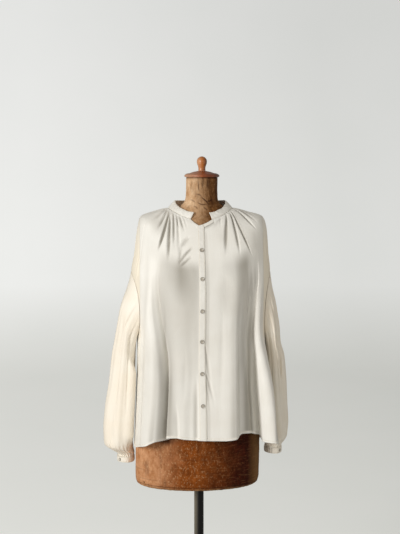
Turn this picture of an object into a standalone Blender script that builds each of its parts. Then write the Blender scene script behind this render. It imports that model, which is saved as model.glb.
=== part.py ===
"""Silk blouse resting on a limbless dress form, on a pole with a round foot.

Millimetres are used in the tables and turned into metres when a mesh is made.
Axes: +Z up, the front of the blouse faces -Y, the wearer's left is at +X.
The origin is the centre of the foot's underside, on the axis of the pole.
"""
import math

import bpy
import numpy as np

for old in list(bpy.data.objects):
    bpy.data.objects.remove(old, do_unlink=True)

# ---- driving dimensions (mm) ----
MM = 0.001
WALL = 1.2            # cloth wall
SEAM = 0.3            # gap between neighbouring pieces
ARM_TOP, ARM_LOW = 5.0, 7.0      # levels where the armhole starts and ends
ARM_REACH = {(-1, 1): 27.0, (-1, -1): 27.0, (1, 1): 20.0, (1, -1): 29.0}
# ^ degrees the armhole takes from a panel: (side, +1 front or -1 back)
ARM_STEPS = 10        # armhole steps from the shoulder down to the underarm
COLLAR_ENDS = (-20.5, 17.5)      # degrees from the centre front to each collar end
COLLAR_WALL = 2.0
V_LEVEL, V_DEG = 0.40, -5.5      # lowest point of the V neck
PLACKET_HALF = ((0, 8.0), (10, 10.5))       # half width of the placket by level
PLACKET_LINE = ((0, -4.6), (3.5, -2.4), (5, -0.6), (7, 0.4), (8, 1.0), (9, 4.4), (10, 8.0))
# ^ the placket's middle by level, X
UNDERLAP = 3.0        # how far the left front reaches past the placket's far edge
CUFF_WALL = 1.8
BUTTON_R, BUTTON_T = 5.8, 2.4
BUTTON_Z = (1268.0, 1188.0, 1098.0, 1012.0, 921.0, 830.0)
POLE_R, FOOT_R, FOOT_T = 14.0, 165.0, 12.0
FORM_BOTTOM = 574.0
NECK_TOP = 1471.5
LEAN = ((574, -5.4), (1472, 8.6))           # height, X of the form's and the blouse's middle

# Levels of the blouse from the neck seam down to the hem:
# half width at -X, half width at +X, front depth, back depth, height at side, front, back
BLOUSE = (
    (97, 90, 77, 63, 1383, 1350, 1379),
    (141, 133, 94, 80, 1371, 1312, 1352),
    (175, 176, 107, 95, 1357, 1274, 1305),
    (184, 189, 117, 101, 1325, 1241, 1270),
    (193, 197, 127, 105, 1252, 1204, 1232),
    (201, 203, 133, 109, 1197, 1162, 1180),
    (196, 198, 135.5, 113, 1105, 1092, 1098),
    (183, 190, 137, 118, 1012, 1012, 1012),
    (182.5, 192, 139, 124, 950, 950, 950),
    (184, 197, 142, 134, 850, 850, 850),
    (187, 204, 147, 147, 700, 700, 700),
)
# Levels of the dress form from the neck's top down, same columns
FORM = (
    (45.5, 45.5, 45.5, 45.5, 1471.5, 1471.5, 1471.5),
    (45, 45, 45, 45, 1442, 1442, 1442),
    (46, 46, 46, 46, 1416, 1412, 1416),
    (51, 51, 51, 48, 1399, 1390, 1400),
    (66, 66, 61, 54, 1388, 1367, 1390),
    (96, 89, 74.5, 61.4, 1380.3, 1348.6, 1377.2),
    (139, 131, 91.5, 78, 1368.4, 1309.8, 1349.4),
    (166, 166, 103, 92, 1353, 1272, 1302),
    (174, 176, 111, 95, 1332, 1240, 1268),
    (171, 173, 116, 96, 1262, 1208, 1230),
    (157, 158, 121, 92, 1175, 1165, 1175),
    (137, 137, 108, 84, 1090, 1090, 1090),
    (120, 120, 93, 76, 1000, 1000, 1000),
    (147, 147, 105, 98, 890, 890, 890),
    (173, 173, 110, 116, 790, 790, 790),
    (182, 182, 113, 122, 700, 700, 700),
    (182, 182, 113, 122, 604, 604, 604),
    (179, 179, 110, 119, 582, 582, 582),
    (170, 170, 101, 110, 574, 574, 574),
)
# Height of the hem round the body: degrees from the centre front (+ to +X), height
HEM = ((-180, 701), (-140, 698), (-100, 693), (-76, 690), (-60, 700), (-50, 708), (-44, 714),
       (-41, 720), (-37, 726), (-31.5, 727), (-29, 736), (-22, 738), (-10, 733), (0, 731), (20, 729),
       (28, 731), (33, 736), (37.5, 742), (45, 741), (54, 735), (62, 728), (65.3, 724), (67.3, 712),
       (74, 710), (80, 703), (86, 698), (110, 696), (145, 699), (180, 701))
# Gathers below the collar: degrees, half width, depth, level where they fade out
GATHERS_RIGHT = ((-24, 3.2, 3.0, 2.6), (-33, 3.2, 2.4, 3.4), (-42, 3.4, 3.6, 4.6), (-51, 3.6, 4.0, 4.2),
                 (-60, 3.4, 2.6, 2.6), (-70, 3.6, 3.0, 2.3), (-80, 3.6, 2.6, 2.0))
GATHERS_LEFT = ((24, 3.2, 2.6, 2.2), (33, 3.4, 3.6, 4.4), (42, 3.2, 2.4, 3.0), (51, 3.6, 3.8, 4.4),
                (60, 3.6, 3.4, 3.6), (70, 3.6, 3.0, 2.6), (80, 3.6, 2.6, 2.2))
GATHERS_BACK = tuple((a, 8.0, 2.6, 2.6) for a in (104, 125, 145, 166, 194, 215, 235, 256))
# Folds that hang from the bust, the shoulder blades and the hips. Each row is a crest or a hollow:
# degrees round the body, then its reach out of the oval at the FOLD_LEVELS
FOLD_LEVELS = (3.6, 5, 6, 7, 8, 9, 10)
FOLDS = (
    (-78, 0, 0, 0, 0, 0, 1, 3),
    (-62, 0, 1, 2, 4, 6, 9, 11),
    (-52, 0, 3, 8, 14, 20, 26, 28),
    (-44, 0, 4, 12, 20, 28, 35, 38),
    (-38, 0, 2, 8, 14, 20, 25, 27),
    (-34.5, 0, -1, -2, -1, 0, 1, 3),
    (-31, 0, -4, -11, -17, -22, -28, -24),
    (-29, 0, -1, 1, 6, 10, 13, 12),
    (-22, 0, 0, 1, 5, 7, 9, 8),
    (-15, 0, 0, 1, 3, 3, 4, 4),
    (-8, 0, 0, 0, 0, -1, -3, -3),
    (2, 0, 0, 0, 0, 0, 0, 0),
    (15, 0, 1, 2, 3, 4, 4, 4),
    (28, 0, 4, 8, 12, 14, 15, 14),
    (37.5, 0, 0, -1, -2, -4, -5, -6),
    (43, 0, 0, 0, 0, 0, 0, -1),
    (52, 0, -2, -7, -10, -12, -14, -12),
    (58, 0, -2, -7, -11, -14, -17, -15),
    (64, 0, 0, -3, -5, -7, -8, -8),
    (78, 0, 0, 0, 2, 10, 24, 34),
    (88, 0, 0, 0, 0, 0, 1, 3),
    (110, 0, 0, -1, -3, -6, -8, -9),
    (131, 0, 2, 4, 7, 9, 12, 13),
    (152, 0, -2, -4, -6, -8, -11, -12),
    (178, 0, 2, 4, 6, 8, 11, 12),
    (205, 0, -2, -4, -6, -9, -12, -13),
    (229, 0, 2, 4, 7, 9, 12, 13),
    (250, 0, 0, -1, -2, -3, -3, -3),
)
# How far a fold is carried straight forward, so that its edge laps the hollow beside it
LAPS = (
    (56, 0, 0, 0, 0, 0, 0, 0),
    (63, 0, -1, -3, -6, -9, -12, -11),
    (65, 0, 2, 7, 13, 21, 28, 32),
    (74, 0, 5, 16, 28, 38, 50, 56),
    (88, 0, 0, 0, 0, 0, 1, 2),
    (100, 0, 0, 0, 0, 0, 0, 0),
)
# The folds fan out: centre and half width of the stretch, then how many degrees nearer the front
# a fold lies at the FOLD_LEVELS than its own angle
FANS = ((-40, 26, 8, 8, 7, 4, 0, -1.5, 0.5), (62, 27, 11, 13.5, 14.5, 9, 5, 2.5, -2.5))
# Hanging sleeve at +X: height, outer edge, inner edge, centre in Y, half depth in Y
SLEEVE_PLUS = ((1215, 207, 178, 0, 58), (1147, 214, 178, 1, 61), (1094, 221.6, 181, 4, 62),
               (1040, 231.6, 187, 9, 62), (995, 236.4, 192.5, 14, 61), (952, 249, 195, 18, 60),
               (880, 257.5, 199, 24, 60), (807, 262.5, 204, 29, 60), (749, 267, 208.5, 34, 60),
               (710, 265, 212, 36, 58), (690, 263.5, 212, 36, 52), (675, 253, 203, 34, 39))
# Hanging sleeve at -X, edges given without their sign
SLEEVE_MINUS = ((1215, 208, 178, 0, 58), (1155, 219, 178, 0, 61), (1115, 227.7, 180, 2, 62),
                (1042, 240, 184, 6, 63), (1000, 247, 186, 10, 63), (968, 252.7, 186, 14, 63),
                (875, 262.5, 187, 19, 64), (800, 273.5, 189, 23, 65), (739, 277.5, 191, 26, 66),
                (700, 275.5, 192, 27, 63), (672, 267, 191, 27, 53), (653, 237, 186.5, 27, 38))
# Long folds on a sleeve: degrees round it (0 outer, 90 front), half width, reach, start, end
FOLDS_MINUS = ((28, 24, 3.5, 0.04, 0.97), (62, 20, -4.5, 0.10, 0.95), (92, 20, 3.0, 0.08, 0.97),
               (133, 36, 15.0, 0.22, 0.94), (-35, 22, -4.5, 0.1, 0.95), (-75, 24, 3.5, 0.1, 0.95))
FOLDS_PLUS = ((25, 22, 3.5, 0.04, 0.97), (58, 20, -4.5, 0.10, 0.95), (96, 22, 3.0, 0.08, 0.97),
              (-35, 22, -4.5, 0.1, 0.95), (-75, 24, 3.5, 0.1, 0.95))
# Cuffs: side sign, centre x, centre y, half width, half depth, low edge, high edge
CUFFS = {"cuff_right": (-1, 211.0, 27, 24.0, 36.5, 637, 652.5),
         "cuff_left": (1, 227.0, 34, 24.0, 37.0, 657, 673.5)}


# ---- small maths ----
def curve(knots, values, at):
    """Cubic through the listed values; each slope is the harmonic mean of its two chords."""
    k, v = np.asarray(knots, float), np.asarray(values, float)
    at = np.clip(np.asarray(at, float), k[0], k[-1])
    gap, chord = np.diff(k), np.diff(v) / np.diff(k)
    slope = np.zeros_like(v)
    both = chord[:-1] * chord[1:]
    slope[1:-1] = np.where(both > 0, 2 * both / np.where(both > 0, chord[:-1] + chord[1:], 1), 0)
    slope[0], slope[-1] = chord[0], chord[-1]
    i = np.clip(np.searchsorted(k, at, side="right") - 1, 0, len(k) - 2)
    t = (at - k[i]) / gap[i]
    return (v[i] * (1 + 2 * t) * (1 - t) ** 2 + slope[i] * gap[i] * t * (1 - t) ** 2
            + v[i + 1] * t * t * (3 - 2 * t) + slope[i + 1] * gap[i] * t * t * (t - 1))


def bump(x):
    """1 at the middle, 0 with no slope from |x| = 1 on."""
    return np.clip(1 - x * x, 0, 1) ** 2


def smooth(x, low, high):
    t = np.clip((x - low) / (high - low), 0, 1)
    return t * t * (3 - 2 * t)


def lean(z):
    """X of the middle of the form and the blouse at a height."""
    return np.interp(z, [h for h, _ in LEAN], [x for _, x in LEAN])


def ring(table, level, deg):
    """Point at a level of a table and an angle round it: an oval whose front and back halves
    have their own depth, and whose height goes from the side's to the front's or back's."""
    rows = np.arange(len(table))
    left, right, front, back, z_s, z_f, z_b = (curve(rows, column, level) for column in zip(*table))
    a = np.radians(deg)
    sin, cos = np.sin(a), np.cos(a)
    x = np.where(sin < 0, left, right) * sin
    y = -np.where(cos > 0, front, back) * cos
    z = z_s + (np.where(cos > 0, z_f, z_b) - z_s) * cos ** 2
    return np.stack(np.broadcast_arrays(x + lean(z), y, z), -1)


def unit(v):
    return v / np.maximum(np.linalg.norm(v, axis=-1, keepdims=True), 1e-9)


def ring_normal(table, level, deg):
    level = np.clip(level, 0.02, len(table) - 1.02)
    down = ring(table, level + 0.02, deg) - ring(table, level - 0.02, deg)
    round_ = ring(table, level, deg + 0.5) - ring(table, level, deg - 0.5)
    return unit(np.cross(down, round_))


def grid_normal(points):
    down, along = np.gradient(points, axis=0), np.gradient(points, axis=1)
    return unit(np.cross(down, along))


def blouse_normal(level, deg):
    """Normal of the draped surface, the same for two panels that meet."""
    level = np.clip(level, 0.03, 9.97)
    down = blouse(level + 0.03, deg) - blouse(level - 0.03, deg)
    round_ = blouse(level, deg + 0.6) - blouse(level, deg - 0.6)
    return unit(np.cross(down, round_))


# ---- the blouse's surface ----
def wrap(deg):
    return (deg + 180.0) % 360.0 - 180.0


def fanned(level, deg):
    """Angle in the fold tables of a place on the body."""
    return deg + sum(curve(FOLD_LEVELS, shift, level) * bump((deg - centre) / half)
                     for centre, half, *shift in FANS)


def unfanned(level, turn):
    """The reverse of fanned, found by correcting a guess twelve times."""
    deg = turn + 0 * level
    for _ in range(12):
        deg = deg + turn - fanned(level, deg)
    return deg


def hanging(level, deg, table):
    """Value of a fold table at a place: a cubic through its rows, level at each crest and hollow,
    all the way round the body."""
    turn = fanned(level, deg)
    turn = np.where(turn < -90, turn + 360, turn)
    rows = [(row[0] - 360, *row[1:]) for row in table[-2:]] + list(table)
    rows += [(row[0] + 360, *row[1:]) for row in table[:2]]
    at = [row[0] for row in rows]
    value = [curve(FOLD_LEVELS, row[1:], level) + 0 * turn for row in rows]
    chord = [(v1 - v0) / (a1 - a0) for a0, a1, v0, v1 in zip(at, at[1:], value, value[1:])]
    slope = [0 * turn]
    for c0, c1 in zip(chord, chord[1:]):
        slope.append(np.where(c0 * c1 > 0, 2 * c0 * c1 / np.where(c0 * c1 > 0, c0 + c1, 1), 0))
    out = 0 * turn
    for k in range(1, len(rows) - 2):
        gap = at[k + 1] - at[k]
        t = (turn - at[k]) / gap
        part = (value[k] * (1 + 2 * t) * (1 - t) ** 2 + slope[k] * gap * t * (1 - t) ** 2
                + value[k + 1] * t * t * (3 - 2 * t) + slope[k + 1] * gap * t * t * (t - 1))
        out = np.where((t >= 0) & (t < 1), part, out)
    return out


def reach(level, deg):
    """How far the cloth stands out from its smooth oval at a level and an angle."""
    fade = 1 - smooth(level, 1.2, 4.8)
    out = 2.6 * fade * (0.3 + 0.7 * smooth(level, 0.0, 0.35))
    for centre, half, depth, end in GATHERS_RIGHT + GATHERS_LEFT + GATHERS_BACK:
        near = bump(wrap(deg - centre) / (half * (1 + 0.25 * level)))
        keep = (0.3 + 0.7 * smooth(level, 0.0, 0.35)) * (1 - smooth(level, 0.45 * end, end))
        out = out - depth * keep * near
    return out + hanging(level, deg, FOLDS)


def blouse(level, deg, out=0.0):
    """Outer surface of the blouse, its hem following the HEM table."""
    p = ring(BLOUSE, level, deg) + ring_normal(BLOUSE, level, deg) * (reach(level, deg) + out)[..., None]
    hem = curve([h[0] for h in HEM], [h[1] for h in HEM], wrap(deg))
    p[..., 1] -= hanging(level, deg, LAPS)
    p[..., 2] += smooth(level, 8.0, 10.0) * (hem - 700.0)
    return p


def top_level(deg):
    """Level of the neck edge: the collar seam, and the V between the collar's ends."""
    d = wrap(deg)
    side = np.where(d < V_DEG, (d - COLLAR_ENDS[0]) / (V_DEG - COLLAR_ENDS[0]),
                    (COLLAR_ENDS[1] - d) / (COLLAR_ENDS[1] - V_DEG))
    return V_LEVEL * np.clip(side, 0, 1)


def side_cut(level):
    """Share of the armhole's reach at a level: half an ellipse."""
    t = np.clip((level - ARM_TOP) / (ARM_LOW - ARM_TOP), 0, 1)
    return 2 * np.sqrt(t * (1 - t))


def panel_levels():
    above = np.array([0, 0.16, 0.4, 0.8, 1.25, 1.7, 2.2, 2.9, 3.6, 4.3])
    phi = np.linspace(0, math.pi, ARM_STEPS + 1)
    arm = ARM_TOP + (ARM_LOW - ARM_TOP) * (1 - np.cos(phi)) / 2
    below = np.array([7.6, 8.3, 9.1, 10.0])
    return np.concatenate([above, arm, below])


def panel_grid(degrees, sides, face):
    """Levels and angles of a panel's points. The columns near a side bend round the armhole."""
    base = panel_levels()[:, None]
    level = base + 0 * np.asarray(degrees, float)[None, :]
    deg = unfanned(level, np.asarray(degrees, float)[None, :])
    angle = deg.copy()
    for side in sides:
        away = wrap(deg - side)
        way = np.sign(away)
        cut = side_cut(base) * ARM_REACH[(1 if side == 90.0 else -1, face)]
        angle += way * cut * smooth(np.abs(away), 52.0, 0.0)
        angle = np.where(np.abs(away) < 0.5, side + way * (cut + 0.08), angle)
    return level, angle


def x_columns(level, xs):
    """Angles of columns given by their distance from the placket's middle, in X."""
    rows = np.arange(len(BLOUSE))
    x = curve([r[0] for r in PLACKET_LINE], [r[1] for r in PLACKET_LINE], level) + xs
    half = np.where(x < 0, curve(rows, [r[0] for r in BLOUSE], level),
                    curve(rows, [r[1] for r in BLOUSE], level))
    return np.degrees(np.arcsin(x / half))


def lower_top(level, angle):
    """Moves a panel's upper rows down to the neck edge, keeping their order."""
    top = top_level(angle)
    return np.where(level < ARM_TOP, top + level * (ARM_TOP - top) / ARM_TOP, level)


# ---- meshes ----
def material(name, rgb, rough=0.8, metal=0.0):
    m = bpy.data.materials.new(name)
    m.use_nodes = True
    shader = next(n for n in m.node_tree.nodes if n.type == "BSDF_PRINCIPLED")
    shader.inputs["Base Color"].default_value = (*rgb, 1)
    shader.inputs["Roughness"].default_value = rough
    shader.inputs["Metallic"].default_value = metal
    m.diffuse_color = (*rgb, 1)
    return m


def add(name, points, faces, mat):
    mesh = bpy.data.meshes.new(name)
    mesh.from_pydata((np.asarray(points) * MM).tolist(), [], [tuple(int(i) for i in f) for f in faces])
    mesh.materials.append(mat)
    mesh.validate()
    mesh.update()
    obj = bpy.data.objects.new(name, mesh)
    bpy.context.scene.collection.objects.link(obj)
    return obj


def sheet(name, outer, inner, mat, closed=False):
    """Closed wall between two grids of points; with closed=True it goes round in columns."""
    rows, cols = outer.shape[:2]
    points = np.concatenate([outer.reshape(-1, 3), inner.reshape(-1, 3)])
    n = rows * cols
    o = lambda r, c: r * cols + c % cols
    i = lambda r, c: n + r * cols + c % cols
    faces = []
    last = cols if closed else cols - 1
    for r in range(rows - 1):
        for c in range(last):
            faces.append((o(r, c), o(r + 1, c), o(r + 1, c + 1), o(r, c + 1)))
            faces.append((i(r, c), i(r, c + 1), i(r + 1, c + 1), i(r + 1, c)))
    for c in range(last):
        faces.append((o(0, c), o(0, c + 1), i(0, c + 1), i(0, c)))
        faces.append((o(rows - 1, c), i(rows - 1, c), i(rows - 1, c + 1), o(rows - 1, c + 1)))
    if not closed:
        for r in range(rows - 1):
            faces.append((o(r, 0), i(r, 0), i(r + 1, 0), o(r + 1, 0)))
            faces.append((o(r, cols - 1), o(r + 1, cols - 1), i(r + 1, cols - 1), i(r, cols - 1)))
    return add(name, points, faces, mat)


def turned(name, profile, mat, steps=32, move=(0, 0, 0)):
    """Solid of revolution about Z from (radius, height) pairs, bottom to top."""
    a = np.arange(steps) * 2 * math.pi / steps
    prof = np.asarray(profile, float)
    pts = np.stack([prof[:, :1] * np.cos(a), prof[:, :1] * np.sin(a),
                    np.repeat(prof[:, 1:], steps, 1)], -1).reshape(-1, 3)
    k = len(prof)
    pts = np.vstack([pts, (0, 0, prof[0, 1]), (0, 0, prof[-1, 1])]) + np.asarray(move, float)
    faces = []
    for r in range(k - 1):
        for c in range(steps):
            d = (c + 1) % steps
            faces.append((r * steps + c, r * steps + d, (r + 1) * steps + d, (r + 1) * steps + c))
    for c in range(steps):
        d = (c + 1) % steps
        faces.append((k * steps, d, c))
        faces.append((k * steps + 1, (k - 1) * steps + c, (k - 1) * steps + d))
    return add(name, pts, faces, mat)


# ---- materials ----
SILK = material("ivory_silk", (0.86, 0.83, 0.75), 0.55)
SHELL = material("shell_button", (0.45, 0.43, 0.40), 0.3)
LINEN = material("aged_covering", (0.30, 0.15, 0.07), 0.8)
WOOD = material("turned_wood", (0.42, 0.17, 0.06), 0.45)
STEEL = material("black_steel", (0.03, 0.03, 0.03), 0.4, 0.6)

# ---- dress form: covered body, wooden cap and knob, pole, round foot ----
form_levels = np.array([0, 1, 2, 3, 3.5, 4, 4.5, 5, 6, 6.6, 7.2, 8, 9, 10, 11, 12, 13, 14, 15, 16, 17, 18])
form_deg = np.arange(32) * 11.25
shell = ring(FORM, form_levels[:, None], form_deg[None, :])
rows, cols = shell.shape[:2]
pts = np.vstack([shell.reshape(-1, 3), (lean(NECK_TOP), 0, NECK_TOP), (lean(FORM_BOTTOM), 0, FORM_BOTTOM)])
faces = [(r * cols + c, (r + 1) * cols + c, (r + 1) * cols + (c + 1) % cols, r * cols + (c + 1) % cols)
         for r in range(rows - 1) for c in range(cols)]
faces += [(rows * cols, c, (c + 1) % cols) for c in range(cols)]
faces += [(rows * cols + 1, (rows - 1) * cols + (c + 1) % cols, (rows - 1) * cols + c) for c in range(cols)]
add("form_torso", pts, faces, LINEN)

top = NECK_TOP + SEAM
at_top = (float(lean(top)), 0, 0)
turned("neck_cap", ((43, top), (49.5, top + 1.2), (51, top + 3.2), (50.5, top + 6), (46, top + 9.5),
                    (24, top + 16.5), (12.5, top + 18.2)), WOOD, 28, at_top)
knob = top + 18.2 + SEAM
turned("neck_knob", ((10.6, knob), (10.1, knob + 6), (11.0, knob + 12), (14.2, knob + 20.5),
                     (15, knob + 27), (13.2, knob + 34), (8.6, knob + 39), (3.6, knob + 41.3)),
       WOOD, 18, at_top)
turned("stand_pole", ((POLE_R, 40 + SEAM), (POLE_R, FORM_BOTTOM - SEAM)), STEEL, 20)
turned("stand_foot", ((FOOT_R - 1.5, 0), (FOOT_R, 1.5), (FOOT_R, FOOT_T - 3), (FOOT_R - 4, FOOT_T),
                      (30, FOOT_T + 4), (22, 40)), STEEL, 40)

# ---- body panels ----
right_deg = [-90, -84, -80, -75, -70, -66, -62, -58, -54, -50, -47, -44, -41, -38.5, -36.2, -34.5,
             -33.1, -32, -31, -29.9, -29, -24, -17, -10.5]
left_deg = [10.5, 16, 21, 25, 28, 31, 34, 37.5, 40.5, 43, 46, 49, 52, 55.5, 59.5, 63, 64, 65,
            68, 71.5, 75, 79, 84, 90]
back_deg = [90.0, 97, 104, 111, 118, 125, 132, 138, 145, 152, 159, 166, 173, 180,
            187, 194, 201, 208, 215, 222, 228, 235, 242, 249, 256, 263, 270.0]
half_at = lambda level: np.interp(level, [r[0] for r in PLACKET_HALF], [r[1] for r in PLACKET_HALF])

# right front: its free edge is the placket's far edge
level, angle = panel_grid([-89.9] + right_deg[1:], (-90.0,), 1)
edge = np.concatenate([x_columns(level[:, :1], -half_at(level[:, :1])), x_columns(level[:, :1], 0.0),
                       x_columns(level[:, :1], half_at(level[:, :1]))], 1)
angle = np.concatenate([angle, edge], 1)
level = lower_top(np.repeat(level[:, :1], angle.shape[1], 1), angle)
outer = blouse(level, angle)
sheet("front_right", outer, outer - WALL * blouse_normal(level, angle), SILK)

# placket: the right front's own three columns, moved out
low = blouse(level[:, -3:], angle[:, -3:], np.full_like(angle[:, -3:], SEAM + 0.1))
low[0] += 0.12 * (low[1] - low[0])
high = low + 1.0 * blouse_normal(level[:, -3:], angle[:, -3:])
sheet("placket", high, low, SILK)

# left front: passes under the placket
level, angle = panel_grid(left_deg[:-1] + [89.9], (90.0,), 1)
edge = np.concatenate([x_columns(level[:, :1], -half_at(level[:, :1]) - UNDERLAP),
                       x_columns(level[:, :1], 0.0), x_columns(level[:, :1], half_at(level[:, :1]))], 1)
angle = np.concatenate([edge, angle], 1)
level = lower_top(np.repeat(level[:, :1], angle.shape[1], 1), angle)
under = -(WALL + SEAM + 0.4) * (1 - smooth(angle, 7.0, 13.0))
outer = blouse(level, angle, under)
sheet("front_left", outer, outer - WALL * blouse_normal(level, angle), SILK)

level, angle = panel_grid([90.1] + back_deg[1:-1] + [269.9], (90.0, 270.0), -1)
outer = blouse(level, angle)
sheet("back", outer, outer - WALL * blouse_normal(level, angle), SILK)

# ---- collar ----
high = ((77, 70, 69, 57, 1405, 1371, 1403),) * 2
t = np.linspace(1, 0, 4)[:, None]
deg = np.linspace(0, 1, 37)[None, :]
start = COLLAR_ENDS[1] - 1.6 * t
stop = 360 + COLLAR_ENDS[0] + 1.6 * t
deg = start + (stop - start) * deg
low = ring(BLOUSE, 0 * deg, deg)
top_edge = ring(high, 0 * deg, deg)
facing = np.clip(np.cos(np.radians(deg)), 0, 1)
top_edge[..., 2] -= 34 * facing * (1 - facing)
low = low + (SEAM + 0.25) * unit(top_edge - low)
outer = low + (top_edge - low) * t[..., None]
outer += unit(low * (1, 1, 0)) * 1.4 * np.sin(t * math.pi)[..., None]
sheet("collar_band", outer, outer - COLLAR_WALL * grid_normal(outer), SILK)


# ---- sleeves and cuffs ----
def sleeve_section(table, z):
    cols = list(zip(*table))
    heights = [-h for h in cols[0]]
    return [curve(heights, c, -z) for c in cols[1:]]


def sleeve(name, sign, table, cuff):
    """From the armhole's own points down to the cuff: each line starts on the armhole and
    swings out into a hanging oval whose edges follow the sleeve table."""
    phi = np.arange(0, 360, 180 / ARM_STEPS)[None, :]
    v = np.array([0, .015, .04, .08, .14, .22, .32, .44, .57, .69, .79, .86, .91, .945, .975, 1])[:, None]
    a = np.radians(phi)
    arm = ARM_TOP + (ARM_LOW - ARM_TOP) * (1 - np.cos(a)) / 2
    turn = np.where(phi <= 180, 1, -1)
    reach_ = np.where(phi <= 180, ARM_REACH[(sign, 1)], ARM_REACH[(sign, -1)])
    deg = 90 - turn * reach_ * np.abs(np.sin(a))
    hole = blouse(arm, sign * deg)
    centre = hole.mean(axis=1, keepdims=True)
    into = unit(centre - hole)
    start = hole + 0.6 * ring_normal(BLOUSE, arm, sign * deg) + 0.5 * into
    _, cx, cy, hw, hd, _, top_z = cuff
    z_end = top_z + SEAM
    z = start[..., 2] + (z_end - start[..., 2]) * v
    outer, inner, mid, deep = sleeve_section(table, z)
    cos, sin = np.cos(a), np.sin(a)
    flat = lambda c: np.sign(c) * np.abs(c) ** 0.9
    fold = np.zeros_like(z)
    for centre_d, half, far, begin, finish in FOLDS_PLUS if sign > 0 else FOLDS_MINUS:
        fold += far * bump(wrap(phi - centre_d) / half) * smooth(v, begin, begin + 0.12) * (
            1 - smooth(v, finish - 0.12, finish))
    pleat = np.where(np.arange(phi.shape[1]) % 2 == 0, 1.0, -1.0)[None, :]
    fold = fold + pleat * 2.6 * smooth(v, 0.80, 0.93) * (1 - 0.75 * smooth(v, 0.95, 1.0))
    hx, hy = (outer - inner) / 2, deep
    end = smooth(v, 0.93, 1.0)
    hx, hy = hx * (1 - end) + hw * end, hy * (1 - end) + hd * end
    xm = (outer + inner) / 2 * (1 - end) + cx * end
    ym = mid * (1 - end) + cy * end
    x = lean(z) + sign * (xm + (hx + fold) * flat(cos))
    y = ym - (hy + fold) * flat(sin)
    swing = 1 - (1 - np.clip(v / 0.2, 0, 1)) ** 2
    p = np.stack([start[..., 0] + (x - start[..., 0]) * swing,
                  start[..., 1] + (y - start[..., 1]) * swing, z], -1)
    normal = closed_normal(p) * sign
    inner_p = p - WALL * normal
    inner_p[-1, :, 2] = p[-1, :, 2]
    if sign < 0:
        sheet(name, p, inner_p, SILK, True)
    else:
        sheet(name, p[:, ::-1], inner_p[:, ::-1], SILK, True)


def closed_normal(p):
    along = np.roll(p, -1, 1) - np.roll(p, 1, 1)
    return unit(np.cross(along, np.gradient(p, axis=0)))


sleeve("sleeve_right", -1, SLEEVE_MINUS, CUFFS["cuff_right"])
sleeve("sleeve_left", 1, SLEEVE_PLUS, CUFFS["cuff_left"])
for name, (sign, cx, cy, hw, hd, low_z, high_z) in CUFFS.items():
    a = np.radians(np.arange(0, 360, 15.0))[None, :]
    z = np.linspace(high_z, low_z, 3)[:, None]
    cx = cx + sign * float(lean(low_z))
    x = sign * cx + hw * np.cos(a) + 0 * z
    y = cy + hd * np.sin(a) + 0 * z
    outer = np.stack([x, y, z + 0 * a], -1)
    inner = np.stack([sign * cx + (hw - CUFF_WALL) * np.cos(a) + 0 * z,
                      cy + (hd - CUFF_WALL) * np.sin(a) + 0 * z, z + 0 * a], -1)
    sheet(name, outer, inner, SILK, True)


# ---- buttons ----
def button(name, centre, normal, radius, thick):
    """Disc with a rounded edge and a shallow dish, standing along its normal."""
    n = unit(np.asarray(normal, float))
    side = unit(np.cross((0, 0, 1), n))
    up = np.cross(n, side)
    steps = 16
    a = np.arange(steps) * 2 * math.pi / steps
    prof = ((0.88, 0.0), (1.0, 0.4), (0.9, 1.0), (0.62, 0.72))
    pts = [centre + n * thick * h + (side * math.cos(t) + up * math.sin(t)) * radius * r
           for r, h in prof for t in a]
    pts += [centre + 0 * n, centre + n * thick * 0.72]
    k = len(prof)
    faces = [(r * steps + c, r * steps + (c + 1) % steps, (r + 1) * steps + (c + 1) % steps,
              (r + 1) * steps + c) for r in range(k - 1) for c in range(steps)]
    faces += [(k * steps, (c + 1) % steps, c) for c in range(steps)]
    faces += [(k * steps + 1, (k - 1) * steps + c, (k - 1) * steps + (c + 1) % steps) for c in range(steps)]
    add(name, np.array(pts), faces, SHELL)


fine = np.linspace(0.4, 10, 2000)
middle = x_columns(fine, 0.0)
line = blouse(fine, middle)
for i, z in enumerate(BUTTON_Z):
    s = np.interp([-z], -line[:, 2], fine)
    d = np.interp([-z], -line[:, 2], middle)
    here = blouse(s, d, np.array([SEAM + 0.1 + 1.0 + 0.5]))[0]
    button("button_%d" % (i + 1), here, ring_normal(BLOUSE, s, d)[0], BUTTON_R, BUTTON_T)
for name, (sign, cx, cy, hw, hd, low_z, high_z) in CUFFS.items():
    a = math.radians(-48.0)
    n = np.array([sign * math.cos(a) / hw, math.sin(a) / hd, 0])
    here = np.array([float(lean(low_z)) + sign * (cx + hw * math.cos(a)), cy + hd * math.sin(a),
                     (low_z + high_z) / 2])
    button(name.replace("cuff", "cuff_button"), here + unit(n) * 0.9, n, 4.6, 2.2)
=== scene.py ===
"""Ivory silk blouse with a gathered neck and balloon sleeves, resting on an antique dress form.

Tables are in millimetres and degrees; meshes are made in metres. +Z is up, the front faces -Y
and the wearer's left is at +X. Angles round the body are 0 at the centre front and grow towards
+X; levels run from 0 at the neck seam to 10 at the hem.
"""

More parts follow.
